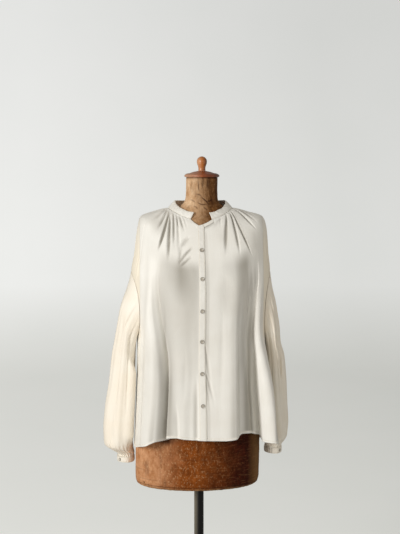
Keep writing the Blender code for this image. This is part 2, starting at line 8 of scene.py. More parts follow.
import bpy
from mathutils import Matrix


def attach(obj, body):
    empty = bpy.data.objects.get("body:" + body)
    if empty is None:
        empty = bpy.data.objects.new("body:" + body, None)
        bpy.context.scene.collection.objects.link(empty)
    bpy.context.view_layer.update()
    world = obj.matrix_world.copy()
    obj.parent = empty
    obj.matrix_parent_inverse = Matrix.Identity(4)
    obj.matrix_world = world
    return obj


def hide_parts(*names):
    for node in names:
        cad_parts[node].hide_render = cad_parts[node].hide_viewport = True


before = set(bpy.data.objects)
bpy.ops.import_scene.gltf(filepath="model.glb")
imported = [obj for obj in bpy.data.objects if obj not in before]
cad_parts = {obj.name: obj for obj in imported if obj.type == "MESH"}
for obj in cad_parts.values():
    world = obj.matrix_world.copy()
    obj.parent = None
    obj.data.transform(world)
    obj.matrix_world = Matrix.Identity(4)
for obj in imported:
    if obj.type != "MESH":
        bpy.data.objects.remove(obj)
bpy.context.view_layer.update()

import math

import bpy
import numpy as np

MM = 0.001

# ---------------------------------------------------------------- sizes, as in the solids
SEAM = 0.3                       # gap between neighbouring pieces
ARM_TOP, ARM_LOW = 5.0, 7.0      # levels where the armhole starts and ends
ARM_REACH = {(-1, 1): 27.0, (-1, -1): 27.0, (1, 1): 20.0, (1, -1): 29.0}
# ^ degrees the armhole takes from a panel: (side, +1 front or -1 back)
COLLAR_ENDS = (-20.5, 17.5)      # degrees from the centre front to each collar end
V_LEVEL, V_DEG = 0.40, -5.5      # lowest point of the V neck
PLACKET_HALF = ((0, 8.0), (10, 10.5))
PLACKET_LINE = ((0, -4.6), (3.5, -2.4), (5, -0.6), (7, 0.4), (8, 1.0), (9, 4.4), (10, 8.0))
UNDERLAP = 3.0                   # how far the left front reaches past the placket's far edge
HEM_LEVEL = 10.0
NECK_LEVEL_MM, HEM_LEVEL_MM = 39.0, 150.0    # length of one level below the neck, above the hem
BUTTON_R = 5.8
BUTTON_Z = (1268.0, 1188.0, 1098.0, 1012.0, 921.0, 830.0)
POLE_R, FOOT_R, FOOT_T = 14.0, 165.0, 12.0
FORM_BOTTOM, NECK_TOP = 574.0, 1471.5
LEAN = ((574, -5.4), (1472, 8.6))            # height, X of the form's and the blouse's middle
SILK_T = 0.5                     # silk as drawn, one layer
FULLNESS = 2.6                   # how far gathered silk stands off its oval near the neck
HEM_STITCH, EDGE_STITCH, NARROW_STITCH = 6.5, 2.0, 1.8
# ^ rows of stitches, from the hem, from the edges of collar and cuffs, from those of the placket
NO_STITCH = 99.0                 # distance that keeps a place clear of stitches
ARM_LINE = (-172.0, 182.0)       # X of the seams over the shoulders, where the sleeves are joined
DEG_MM = 3.15                    # arc of one degree round the body, near the hips

# Levels of the blouse: half width at -X, half width at +X, front depth, back depth,
# height at side, front, back
BLOUSE = (
    (97, 90, 77, 63, 1383, 1350, 1379),
    (141, 133, 94, 80, 1371, 1312, 1352),
    (175, 176, 107, 95, 1357, 1274, 1305),
    (184, 189, 117, 101, 1325, 1241, 1270),
    (193, 197, 127, 105, 1252, 1204, 1232),
    (201, 203, 133, 109, 1197, 1162, 1180),
    (196, 198, 135.5, 113, 1105, 1092, 1098),
    (183, 190, 137, 118, 1012, 1012, 1012),
    (182.5, 192, 139, 124, 950, 950, 950),
    (184, 197, 142, 134, 850, 850, 850),
    (187, 204, 147, 147, 700, 700, 700),
)
# Levels of the dress form from the neck's top down, same columns
FORM = (
    (45.5, 45.5, 45.5, 45.5, 1471.5, 1471.5, 1471.5),
    (45, 45, 45, 45, 1442, 1442, 1442),
    (46, 46, 46, 46, 1416, 1412, 1416),
    (51, 51, 51, 48, 1399, 1390, 1400),
    (66, 66, 61, 54, 1388, 1367, 1390),
    (96, 89, 74.5, 61.4, 1380.3, 1348.6, 1377.2),
    (139, 131, 91.5, 78, 1368.4, 1309.8, 1349.4),
    (166, 166, 103, 92, 1353, 1272, 1302),
    (174, 176, 111, 95, 1332, 1240, 1268),
    (171, 173, 116, 96, 1262, 1208, 1230),
    (157, 158, 121, 92, 1175, 1165, 1175),
    (137, 137, 108, 84, 1090, 1090, 1090),
    (120, 120, 93, 76, 1000, 1000, 1000),
    (147, 147, 105, 98, 890, 890, 890),
    (173, 173, 110, 116, 790, 790, 790),
    (182, 182, 113, 122, 700, 700, 700),
    (182, 182, 113, 122, 604, 604, 604),
    (179, 179, 110, 119, 582, 582, 582),
    (170, 170, 101, 110, 574, 574, 574),
)
# Height of the hem round the body: degrees, height
HEM = ((-180, 701), (-140, 698), (-100, 693), (-76, 690), (-60, 700), (-50, 708), (-44, 714),
       (-41, 720), (-37, 726), (-31.5, 727), (-29, 736), (-22, 738), (-10, 733), (0, 731), (20, 729),
       (28, 731), (33, 736), (37.5, 742), (45, 741), (54, 735), (62, 728), (65.3, 724), (67.3, 712),
       (74, 710), (80, 703), (86, 698), (110, 696), (145, 699), (180, 701))
# Level, and how deep a trough may be there before it is held back from the form
ROOM = ((0, 2.4), (0.5, 3.6), (1, 4.5), (2, 5.2), (3, 5.8), (3.6, 6.5), (5, 40))
# Folds that hang from the bust, the shoulder blades and the hips. Each row is a crest or a hollow:
# degrees round the body, then its reach out of the oval at the FOLD_LEVELS
FOLD_LEVELS = (3.6, 5, 6, 7, 8, 9, 10)
FOLDS = (
    (-78, 0, 0, 0, 0, 0, 1, 3),
    (-62, 0, 1, 2, 4, 6, 9, 11),
    (-52, 0, 3, 8, 14, 20, 26, 28),
    (-44, 0, 4, 12, 20, 28, 35, 38),
    (-38, 0, 2, 8, 14, 20, 25, 27),
    (-34.5, 0, -1, -2, -1, 0, 1, 3),
    (-31, 0, -4, -11, -17, -22, -28, -24),
    (-29, 0, -1, 1, 6, 10, 13, 12),
    (-22, 0, 0, 1, 5, 7, 9, 8),
    (-15, 0, 0, 1, 3, 3, 4, 4),
    (-8, 0, 0, 0, 0, -1, -3, -3),
    (2, 0, 0, 0, 0, 0, 0, 0),
    (15, 0, 1, 2, 3, 4, 4, 4),
    (28, 0, 4, 8, 12, 14, 15, 14),
    (37.5, 0, 0, -1, -2, -4, -5, -6),
    (43, 0, 0, 0, 0, 0, 0, -1),
    (52, 0, -2, -7, -10, -12, -14, -12),
    (58, 0, -2, -7, -11, -14, -17, -15),
    (64, 0, 0, -3, -5, -7, -8, -8),
    (78, 0, 0, 0, 2, 10, 24, 34),
    (88, 0, 0, 0, 0, 0, 1, 3),
    (110, 0, 0, -1, -3, -6, -8, -9),
    (131, 0, 2, 4, 7, 9, 12, 13),
    (152, 0, -2, -4, -6, -8, -11, -12),
    (178, 0, 2, 4, 6, 8, 11, 12),
    (205, 0, -2, -4, -6, -9, -12, -13),
    (229, 0, 2, 4, 7, 9, 12, 13),
    (250, 0, 0, -1, -2, -3, -3, -3),
)
# How far a fold is carried straight forward, so that its edge laps the hollow beside it
LAPS = (
    (56, 0, 0, 0, 0, 0, 0, 0),
    (63, 0, -1, -3, -6, -9, -12, -11),
    (65, 0, 2, 7, 13, 21, 28, 32),
    (74, 0, 5, 16, 28, 38, 50, 56),
    (88, 0, 0, 0, 0, 0, 1, 2),
    (100, 0, 0, 0, 0, 0, 0, 0),
)
# The folds fan out: centre and half width of the stretch, then how many degrees nearer the front
# a fold lies at the FOLD_LEVELS than its own angle
FANS = ((-40, 26, 8, 8, 7, 4, 0, -1.5, 0.5), (62, 27, 11, 13.5, 14.5, 9, 5, 2.5, -2.5))
# Troughs in a panel: X and height where they start, X and height where they end, bow to +X,
# width of the wall at -X, width of the wall at +X, depth, share over which they deepen, share
# over which they fade. A negative depth is a ridge.
FRONT_TROUGHS = (
    # gathers below the collar, wearer's right
    (-100, 1381.5, -150, 1362, 0, 6.8, 4.2, 2.5, 0.1, 0.7),
    (-95, 1381, -136, 1344, 0, 6, 3.4, 3.4, 0.1, 0.6),
    (-90, 1380, -125, 1316, 1, 6, 3.4, 4.5, 0.1, 0.5),
    (-85, 1375, -122, 1258, 2, 6.8, 3.4, 8.2, 0.1, 0.4),
    (-83, 1370, -92, 1230, 0, 7.6, 3.4, 7.8, 0.2, 0.4),
    (-75, 1372, -76, 1280, 2, 5.1, 3.4, 5.3, 0.1, 0.5),
    (-65, 1366, -60, 1245, 0, 5.1, 4.2, 4.8, 0.1, 0.6),
    (-57, 1364, -44, 1312, 0, 4.2, 3.4, 3.6, 0.1, 0.6),
    (-46, 1358, -36, 1322, 0, 4.2, 3.4, 1.7, 0.1, 0.7),
    # pulls towards the first button
    (-20, 1279, -67, 1226, -2, 5.1, 3.4, 5, 0.25, 0.35),
    (-24, 1254, -62, 1220, 0, 4.2, 3.4, 3.6, 0.25, 0.4),
    (-28, 1310, -60, 1268, -3, 7.6, 6, 3.6, 0.4, 0.4),
    (-56, 1280, -62, 1222, 0, 5.1, 4.2, 3.4, 0.3, 0.5),
    # gathers below the collar, wearer's left
    (66, 1366, 40, 1336, 0, 5.1, 4.2, 2, 0.1, 0.6),
    (77, 1370, 70, 1250, 0, 9.3, 4.2, 6.4, 0.15, 0.5),
    (85, 1374, 111, 1248, 4, 6.8, 3.4, 5.3, 0.1, 0.45),
    (89, 1378, 148, 1248, 0, 5.1, 3.4, 5.9, 0.1, 0.4),
    (98, 1381, 161, 1320, 3, 5.1, 3.4, 4.5, 0.1, 0.45),
    (104, 1381, 165, 1338, 4, 4.2, 3.4, 3.6, 0.1, 0.5),
    (112, 1380, 164, 1353, 3, 4.2, 3.4, 2.5, 0.1, 0.5),
    (58, 1362, 56, 1325, 0, 4.2, 3.4, 1.7, 0.1, 0.7),
    # long folds to the hem
    (-104, 1190, -98, 690, 2, 16, 6, 3, 0.6, 0),
    (-150, 1330, -152, 960, 0, 16, 12, 2.0, 0.5, 0.5),
    (-14, 925, -14, 690, 0, 13, 6, 4.2, 0.55, 0),
    (-70, 820, -66, 690, 0, 12, 6, 2.6, 0.6, 0),
    (-45, 1010, -52, 780, 0, 14, 12, 1.4, 0.4, 0.5),
    (9, 1012, 30, 835, 0, 5, 9, 2.6, 0.15, 0.7),
    (11, 925, 38, 805, 0, 5, 8, 3.4, 0.15, 0.6),
    (12, 905, 24, 780, 0, 4, 7, 2.2, 0.15, 0.7),
    (60, 1120, 52, 830, 0, 12, 12, 1.2, 0.5, 0.5),
    (104, 1110, 110, 690, 0, 13, 9, 3.0, 0.5, 0),
    (148, 1230, 160, 690, 0, 24, 8, 4, 0.4, 0),
    (128, 1000, 134, 690, 0, 12, 8, 2.2, 0.5, 0),
    # hollows below the bust
    (-62, 1262, -50, 1085, 0, 50, 40, 3, 0.3, 0.6),
    (66, 1215, 74, 1040, 0, 40, 34, 1.8, 0.35, 0.6),
)
# Painted shade on the silk, laid along its folds where they turn from the light. Fold angle,
# then percent of the painted shade at the FOLD_LEVELS
PAINTED_FOLD_SHADING = (
    (-50, 0, 0, 0, 0, 5, 5, 5),
    (-43, 0, 0, 0, 8, 17, 17, 20),
    (-40, 0, 0, 2, 8, 24, 18, 38),
    (-37.5, 0, 0, 2, 20, 30, 6, 10),
    (-35, 5, 0, 2, 8, 0, 2, 36),
    (-32.5, 12, 16, 26, 18, 0, 36, 40),
    (-27.5, 38, 40, 52, 54, 50, 68, 60),
    (-24.5, 48, 42, 44, 41, 28, 32, 42),
    (-21, 42, 36, 36, 32, 16, 14, 5),
    (-17, 58, 46, 37, 31, 14, 6, 3),
    (-13, 58, 52, 41, 30, 21, 6, 5),
    (-9, 54, 54, 40, 27, 24, 10, 5),
    (-5, 46, 44, 32, 27, 22, 8, 5),
    (0, 18, 16, 10, 10, 8, 4, 3),
    (12, 3, 2, 5, 4, 0, 0, 0),
    (22, 18, 6, 8, 8, 6, 8, 8),
    (26.5, 22, 14, 25, 20, 23, 29, 40),
    (29.5, 42, 34, 30, 4, 6, 12, 10),
    (34, 66, 50, 16, 14, 12, 6, 3),
    (38, 72, 60, 52, 34, 32, 20, 22),
    (41, 66, 60, 62, 54, 48, 42, 50),
    (44, 48, 36, 42, 36, 50, 62, 70),
    (49, 18, 26, 12, 24, 30, 56, 52),
    (55, 5, 22, 10, 24, 30, 34, 27),
    (60, 0, 10, 16, 6, 4, 4, 4),
    (66, 0, 6, 22, 8, 0, 0, 0),
    (72, 0, 4, 18, 4, 0, 0, 0),
    (80, 0, 0, 0, 0, 0, 0, 0),
    (120, 0, 0, 0, 4, 8, 12, 12),
    (152, 0, 4, 10, 16, 20, 24, 26),
    (180, 0, 0, 0, 0, 0, 0, 0),
    (205, 0, 4, 12, 18, 24, 28, 30),
    (228, 0, 0, 0, 0, 0, 0, 0),
)
# Painted shade near the shoulders and chest: X, height, half width, half height, share of the painted
# shade
PAINTED_SHADING_SPOTS = (
    (-116, 1332, 30, 36, 0.20),
    (-150, 1352, 60, 22, 0.12),
    (-138, 1290, 38, 66, 0.1),
    (163, 1190, 17, 90, 0.2),
    (-98, 1268, 56, 52, 0.1),
)
# Painted shade in bands in and beside the gathers, as troughs whose depth is a share of the painted
# shade
PAINTED_SHADING_BANDS = (
    (-94.7, 1377, -128.6, 1346, 0, 3.2, 3.2, 0.30, 0.1, 0.4),
    (-91.9, 1372, -118.7, 1324, 0, 3.5, 3.5, 0.35, 0.1, 0.4),
    (-89.5, 1364, -121.0, 1265, 0, 4.4, 4.4, 0.42, 0.1, 0.3),
    (-84.8, 1358, -90.0, 1236, 0, 6.5, 6.5, 0.32, 0.15, 0.3),
    (-77.0, 1366, -76.4, 1265, 0, 5.0, 5.0, 0.48, 0.15, 0.4),
    (-69.3, 1358, -59.4, 1322, 0, 3.0, 3.0, 0.30, 0.15, 0.4),
    (-61.0, 1361, -48.1, 1322, 0, 3.6, 3.6, 0.48, 0.15, 0.4),
    (-29.7, 1305, -55.0, 1273, 0, 6.5, 6.5, 0.34, 0.3, 0.3),
    (-54.0, 1284, -58.0, 1240, 0, 5.5, 5.5, 0.36, 0.3, 0.4),
    (-20.0, 1277, -64.0, 1227, -2, 5.5, 5.0, 0.42, 0.2, 0.3),
    (-24.0, 1251, -57.0, 1223, 0, 5.0, 4.5, 0.36, 0.2, 0.3),
    (63.5, 1358, 30.0, 1324, 0, 7.0, 7.0, 0.20, 0.2, 0.5),
    (74.0, 1369, 72.0, 1248, 0, 8.5, 8.0, 0.40, 0.1, 0.3),
    (87.5, 1372, 109.5, 1255, 0, 7.5, 7.0, 0.42, 0.1, 0.3),
    (93.0, 1375, 146.0, 1255, 0, 5.5, 5.5, 0.36, 0.1, 0.3),
    (104.0, 1376, 158.0, 1322, 0, 4.2, 4.2, 0.30, 0.1, 0.4),
    (110.0, 1382, 156.0, 1345, 0, 3.5, 3.5, 0.30, 0.1, 0.4),
    (148.0, 1325, 160.0, 1255, 0, 14, 12, 0.16, 0.3, 0.3),
    (66.0, 1345, 60.0, 1265, 0, 18, 10, 0.06, 0.3, 0.5),
)
# Troughs on the back, which hangs from its own gathers
BACK_TROUGHS = (
    (-72, 1372, -128, 1290, 0, 7, 4, 3.4, 0.1, 0.5),
    (-64, 1374, -92, 1215, 2, 8, 4, 4.2, 0.1, 0.5),
    (-48, 1374, -64, 1240, 0, 6, 4, 3.4, 0.1, 0.5),
    (-36, 1376, -42, 1196, 0, 8, 5, 4.2, 0.1, 0.5),
    (-20, 1376, -22, 1256, 0, 6, 4, 3.0, 0.1, 0.5),
    (-6, 1376, -4, 1208, 0, 7, 5, 4.0, 0.1, 0.5),
    (10, 1376, 14, 1262, 0, 6, 4, 2.8, 0.1, 0.5),
    (26, 1375, 34, 1192, 0, 8, 5, 4.2, 0.1, 0.5),
    (42, 1374, 58, 1250, 0, 6, 4, 3.2, 0.1, 0.5),
    (58, 1374, 86, 1212, 0, 8, 4, 4.2, 0.1, 0.5),
    (74, 1374, 130, 1296, 0, 7, 4, 3.2, 0.1, 0.5),
    (-118, 1180, -112, 690, 8, 30, 10, 5, 0.7, 0),
    (-52, 1120, -64, 690, -5, 14, 28, 5, 0.7, 0),
    (10, 1150, 6, 690, 6, 26, 12, 4.5, 0.7, 0),
    (70, 1080, 78, 690, 0, 24, 10, 5, 0.7, 0),
    (128, 1140, 136, 690, 0, 12, 26, 4, 0.7, 0),
)
# Troughs by the side of the body, where X hardly changes: degrees in place of X
SIDE_TROUGHS = (
    (-64, 1352, -65, 1112, 0, 5, 3, 2.0, 0.1, 0.3),
    (-68, 1346, -70, 1170, 0, 3, 3, 1.4, 0.1, 0.4),
    (-84, 1340, -85, 1205, 0, 4, 6, 2.0, 0.2, 0.4),
    (73, 1340, 78, 1160, 0, 5, 3, 2.4, 0.1, 0.2),
    (80, 1330, 84, 1180, 0, 4, 4, 2.0, 0.2, 0.3),
    (66, 1300, 70, 1215, 0, 6, 6, 1.4, 0.4, 0.5),
    (96, 1345, 100, 1190, 0, 5, 5, 2.4, 0.2, 0.4),
    (264, 1345, 260, 1190, 0, 5, 5, 2.4, 0.2, 0.4),
    (80, 960, 78, 700, 0, 14, 10, 5, 0.5, 0),
    (97, 980, 98, 700, 0, 10, 14, 4, 0.5, 0),
    (-80, 960, -82, 700, 0, 12, 12, 3.5, 0.5, 0),
    (-57, 1000, -58, 700, 0, 10, 12, 1.8, 0.5, 0),
)
# Hanging sleeve at +X: height, outer edge, inner edge, centre in Y, half depth in Y
SLEEVE_PLUS = ((1215, 207, 178, 0, 58), (1147, 214, 178, 1, 61), (1094, 221.6, 181, 4, 62),
               (1040, 231.6, 187, 9, 62), (995, 236.4, 192.5, 14, 61), (952, 249, 195, 18, 60),
               (880, 257.5, 199, 24, 60), (807, 262.5, 204, 29, 60), (749, 267, 208.5, 34, 60),
               (710, 265, 212, 36, 58), (690, 263.5, 212, 36, 52), (675, 253, 203, 34, 39))
# Hanging sleeve at -X, edges given without their sign
SLEEVE_MINUS = ((1215, 208, 178, 0, 58), (1155, 219, 178, 0, 61), (1115, 227.7, 180, 2, 62),
                (1042, 240, 184, 6, 63), (1000, 247, 186, 10, 63), (968, 252.7, 186, 14, 63),
                (875, 262.5, 187, 19, 64), (800, 273.5, 189, 23, 65), (739, 277.5, 191, 26, 66),
                (700, 275.5, 192, 27, 63), (672, 267, 191, 27, 53), (653, 237, 186.5, 27, 38))
# Long folds on a sleeve: degrees round it (0 outer, 90 front), half width, reach, and where they
# start and end as shares of the length
FOLDS_MINUS = ((28, 24, 3.5, 0.04, 0.97), (62, 20, -4.5, 0.1, 0.95), (92, 20, 3.0, 0.08, 0.97),
               (133, 36, 15.0, 0.22, 0.94), (-35, 22, -4.5, 0.1, 0.95), (-75, 24, 3.5, 0.1, 0.95))
FOLDS_PLUS = ((25, 22, 3.5, 0.04, 0.97), (58, 20, -4.5, 0.1, 0.95), (96, 22, 3.0, 0.08, 0.97),
              (-35, 22, -4.5, 0.1, 0.95), (-75, 24, 3.5, 0.1, 0.95))
# Finer troughs on a sleeve: degrees round it at the start, height, degrees at the end, height,
# bow, wall towards smaller degrees, wall towards larger degrees (mm), depth, deepen, fade. Those
# behind the arm are alike on both sleeves
BEHIND = (
    (-22, 1180, -30, 720, 0, 12, 9, 4.0, 0.3, 0.3),
    (-60, 1160, -66, 740, 0, 12, 8, 4.0, 0.3, 0.3),
    (-100, 1120, -108, 760, 0, 12, 8, 3.5, 0.3, 0.3),
)
TROUGHS_MINUS = (
    (40, 1150, 30, 780, 0, 10, 20, 2.4, 0.4, 0.5),
    (84, 1180, 62, 740, 4, 9, 18, 3.0, 0.3, 0.4),
    (108, 1120, 112, 760, 0, 8, 18, 3.6, 0.3, 0.35),
    (70, 900, 84, 700, 0, 8, 14, 2.4, 0.5, 0.2),
    (8, 1120, 6, 760, 0, 14, 16, 2.0, 0.3, 0.3),
    *BEHIND,
)
TROUGHS_PLUS = (
    (36, 1190, 26, 860, 0, 7, 16, 3.4, 0.25, 0.5),
    (62, 1200, 52, 920, 3, 6, 14, 3.6, 0.2, 0.5),
    (92, 1190, 84, 760, 0, 8, 16, 3.6, 0.3, 0.4),
    (48, 960, 58, 872, 0, 3, 24, 11, 0.45, 0.55),
    (40, 830, 34, 700, 0, 8, 14, 2.6, 0.4, 0.2),
    (120, 1080, 122, 760, 0, 10, 14, 4.0, 0.3, 0.3),
    (10, 1120, 6, 760, 0, 9, 11, 3.0, 0.3, 0.3),
    *BEHIND,
)
# Cuffs: side sign, centre in X and Y, half width, half depth, low edge, high edge
CUFFS = {"cuff_right": (-1, 211.0, 27, 24.0, 36.5, 637, 652.5),
         "cuff_left": (1, 227.0, 34, 24.0, 37.0, 657, 673.5)}
# Shell buttons: outline as share of the radius and of the thickness, from the back's middle
# over the rim to the dished face
BUTTON_OUTLINE = (
    (0.01, 0.0), (0.80, 0.0), (0.94, 0.18), (1.0, 0.42), (0.985, 0.66), (0.94, 0.86), (0.87, 0.98),
    (0.80, 1.0), (0.72, 0.93), (0.64, 0.76), (0.52, 0.70), (0.44, 0.68), (0.37, 0.67), (0.30, 0.66),
    (0.23, 0.66), (0.16, 0.66), (0.09, 0.66), (0.01, 0.66),
)
# Creases in the covering of the form's neck, as troughs
NECK_CREASES = (
    (-6, 1468, -2, 1424, 1, 2.5, 2, 0.8, 0.2, 0.4),
    (6, 1464, 10, 1436, -1, 2, 2.5, 1.0, 0.3, 0.4),
    (22, 1470, 20, 1430, 1, 4, 3, 1.0, 0.2, 0.5),
    (-22, 1466, -26, 1428, 0, 4, 3, 0.6, 0.3, 0.5),
    (2, 1416, 28, 1391, 3, 3, 3, 1.7, 0.2, 0.3),
    (-8, 1402, 22, 1396, -4, 2.5, 3, 1.3, 0.3, 0.3),
    (-14, 1424, 8, 1414, 4, 3, 3, 1.0, 0.3, 0.4),
    (18, 1404, 42, 1410, -2, 3, 3, 1.4, 0.3, 0.4),
    (30, 1424, 36, 1398, 1, 3, 4, 1.0, 0.3, 0.4),
    (-30, 1408, -12, 1398, 3, 3, 4, 0.8, 0.3, 0.4),
    (10, 1388, 24, 1378, 0, 3, 3, 1.2, 0.3, 0.4),
    (-20, 1392, -4, 1380, 2, 3, 3, 0.9, 0.3, 0.4),
)
# Darker marks on its front: X, height, half width, half height, share
NECK_DARK_MARKS = (
    (9, 1462, 4, 24, 0.45), (26, 1458, 6, 30, 0.6), (31, 1428, 12, 40, 0.3), (49, 1440, 8, 60, 0.6),
    (36, 1398, 13, 17, 0.5), (22, 1394, 9, 10, 0.3), (-3, 1450, 3, 22, 0.25), (-46, 1440, 5, 50, 0.3),
)


# ---------------------------------------------------------------- small maths
def between(pairs, at):
    """Straight lines from one listed pair to the next."""
    return np.interp(at, *zip(*pairs))


def slope_between(before, after):
    """Slope where two chords meet: their harmonic mean, and 0 at a crest or a hollow."""
    same = before * after > 0
    return np.where(same, 2 * before * after / np.where(same, before + after, 1), 0)


def cubic(t, gap, v0, v1, slope0, slope1):
    """Cubic over a gap, t from 0 to 1, with the given values and slopes at its two ends."""
    return (v0 * (1 + 2 * t) * (1 - t) ** 2 + slope0 * gap * t * (1 - t) ** 2
            + v1 * t * t * (3 - 2 * t) + slope1 * gap * t * t * (t - 1))


def curve(knots, values, at):
    """Smooth curve through the listed values: a cubic over each gap."""
    k, v = np.asarray(knots, float), np.asarray(values, float)
    at = np.clip(np.asarray(at, float), k[0], k[-1])
    gap, chord = np.diff(k), np.diff(v) / np.diff(k)
    slope = np.concatenate([chord[:1], slope_between(chord[:-1], chord[1:]), chord[-1:]])
    i = np.clip(np.searchsorted(k, at, side="right") - 1, 0, len(k) - 2)
    return cubic((at - k[i]) / gap[i], gap[i], v[i], v[i + 1], slope[i], slope[i + 1])


def bump(x):
    """1 at the middle, 0 with no slope from |x| = 1 on."""
    return np.clip(1 - x * x, 0, 1) ** 2


def smooth(x, low, high):
    """0 at low, 1 at high, level at both ends."""
    t = np.clip((x - low) / (high - low), 0, 1)
    return t * t * (3 - 2 * t)


def unit(v):
    """Directions divided by their own length."""
    return v / np.maximum(np.linalg.norm(v, axis=-1, keepdims=True), 1e-9)


def wrap(deg):
    """Angle moved by whole turns to between -180 and 180."""
    return (deg + 180.0) % 360.0 - 180.0


def lean(z):
    """X of the middle of the form and the blouse at a height."""
    return between(LEAN, z)


def ripple(u, v, seed, waves=9, long=60.0, short=14.0, stretch=4.0):
    """Sum of sine waves with seeded headings, wavelengths from long to short across u, and
    stretched along v: the uneven surface of cloth that has been worn and hung. About -1 to 1."""
    rng = np.random.default_rng(seed)
    total = 0
    for k in range(waves):
        length = long * (short / long) ** (k / (waves - 1))
        heading, phase = rng.uniform(-0.5, 0.5), rng.uniform(0, 2 * math.pi)
        total = total + np.sin(2 * math.pi * (u * math.cos(heading) / length
                                              + v * math.sin(heading) / (length * stretch)
                                              + 0.3 * np.sin(v / (length * stretch))) + phase)
    return total / waves ** 0.5 / 1.4


def troughs(u, v, table, scale=1.0):
    """Sum of the listed troughs at (u, v), in mm outwards (so mostly negative). Across its line
    each is 1 - |x| squared on either wall, rounded at the bottom; along it the width swells to
    the middle and the depth grows and fades by smooth steps."""
    out = np.zeros(np.broadcast(u, v).shape)
    for u0, v0, u1, v1, bow, low, high, depth, grow, fade in table:
        u0, u1 = u0 * scale, u1 * scale
        du, dv = u1 - u0, v1 - v0
        length = math.hypot(du, dv)
        t = ((u - u0) * du + (v - v0) * dv) / length ** 2
        across = ((v - v0) * du - (u - u0) * dv) / length - bow * 4 * t * (1 - t)
        swell = 0.45 + 0.55 * smooth(t, 0, 0.45) - (0.4 * smooth(t, 0.6, 1) if fade else 0)
        x = np.abs(across) / (np.where(across < 0, low, high) * np.maximum(swell, 0.05))
        x = np.clip(np.sqrt(x * x + 0.006) - 0.077, 0, 1)
        shape = 0.55 * (1 - x) ** 2 + 0.45 * bump(x)
        along = smooth(t, -0.02, grow) * ((1 - smooth(t, 1 - fade, 1.02)) if fade else 1)
        out -= depth * shape * along
    return out


def patches(x, z, table):
    """Sum of the listed round patches, each highest in its middle."""
    return sum(most * bump((x - x0) / half_x) * bump((z - z0) / half_z)
               for x0, z0, half_x, half_z, most in table)


def ring(table, level, deg):
    """Point at a level of a table and an angle round it: an oval whose front and back halves
    have their own depth, and whose height goes from the side's to the front's or back's."""
    rows = np.arange(len(table))
    left, right, front, back, z_s, z_f, z_b = (curve(rows, column, level) for column in zip(*table))
    sin, cos = np.sin(np.radians(deg)), np.cos(np.radians(deg))
    x = np.where(sin < 0, left, right) * sin
    y = -np.where(cos > 0, front, back) * cos
    z = z_s + (np.where(cos > 0, z_f, z_b) - z_s) * cos ** 2
    return np.stack(np.broadcast_arrays(x + lean(z), y, z), -1)


def ring_normal(table, level, deg):
    """Direction out of the oval: square to the way down and the way round."""
    level = np.clip(level, 0.02, len(table) - 1.02)
    down = ring(table, level + 0.02, deg) - ring(table, level - 0.02, deg)
    onward = ring(table, level, deg + 0.5) - ring(table, level, deg - 0.5)
    return unit(np.cross(down, onward))


# ---------------------------------------------------------------- the blouse's surface
def top_level(deg):
    """Level of the neck edge: the collar seam, and the V between the collar's ends."""
    d = wrap(deg)
    side = np.where(d < V_DEG, (d - COLLAR_ENDS[0]) / (V_DEG - COLLAR_ENDS[0]),
                    (COLLAR_ENDS[1] - d) / (COLLAR_ENDS[1] - V_DEG))
    return V_LEVEL * np.clip(side, 0, 1)


def fanned(level, deg):
    """Angle in the fold tables of a place on the body."""
    return deg + sum(curve(FOLD_LEVELS, shift, level) * bump((deg - centre) / half)
                     for centre, half, *shift in FANS)


def unfanned(level, turn):
    """The reverse of fanned, found by correcting a guess twelve times."""
    deg = turn + 0 * level
    for _ in range(12):
        deg = deg + turn - fanned(level, deg)
    return deg


def hanging(level, deg, table):
    """Value of a fold table at a place: a cubic through its rows, level at each crest and hollow,
    all the way round the body."""
    turn = fanned(level, deg)
    turn = np.where(turn < -90, turn + 360, turn)
    rows = [(row[0] - 360, *row[1:]) for row in table[-2:]] + list(table)
    rows += [(row[0] + 360, *row[1:]) for row in table[:2]]
    at = [row[0] for row in rows]
    value = [curve(FOLD_LEVELS, row[1:], level) + 0 * turn for row in rows]
    chord = [(v1 - v0) / (a1 - a0) for a0, a1, v0, v1 in zip(at, at[1:], value, value[1:])]
    slope = [0 * turn] + [slope_between(c0, c1) for c0, c1 in zip(chord, chord[1:])]
    out = 0 * turn
    for k in range(1, len(rows) - 2):
        gap = at[k + 1] - at[k]
        t = (turn - at[k]) / gap
        part = cubic(t, gap, value[k], value[k + 1], slope[k], slope[k + 1])
        out = np.where((t >= 0) & (t < 1), part, out)
    return out


def lift(level, deg):
    """Silk between the gathers stands a little off the form, so that they can sink in."""
    away = np.abs(wrap(deg))
    beside = smooth(away, 20, 36) * (1 - smooth(away, 62, 84))
    return FULLNESS * beside * smooth(level, 0.1, 0.7) * (1 - smooth(level, 2.6, 4.4))


def fine_relief(level, deg):
    """Troughs placed one by one, and tiny tucks along the collar seam. The deepest are held
    back where the form lies close below."""
    x, _, z = np.moveaxis(ring(BLOUSE, level, deg), -1, 0)
    a = np.radians(deg)
    cos = np.cos(a)
    fine = np.where(cos > 0, troughs(x, z, FRONT_TROUGHS), troughs(x, z, BACK_TROUGHS))
    fine = fine * smooth(np.abs(cos), 0.03, 0.22)
    turn = np.where(deg < -90, deg + 360, deg)
    fine = fine + troughs(turn * DEG_MM, z, SIDE_TROUGHS, DEG_MM)
    gathered = smooth(np.abs(wrap(deg)), 36, 52)
    tuck = np.sin(a * 46 + 1.3 * np.sin(a * 7))
    fine = fine + 0.55 * tuck * gathered * (1 - smooth(level, 0.05, 0.45))
    fine = fine * (0.35 + 0.65 * smooth(level, 0.0, 0.25))
    room = between(ROOM, level) + lift(level, deg)
    deep = np.maximum(-fine, 0)
    return fine + deep - deep / (1 + (deep / room) ** 4) ** 0.25


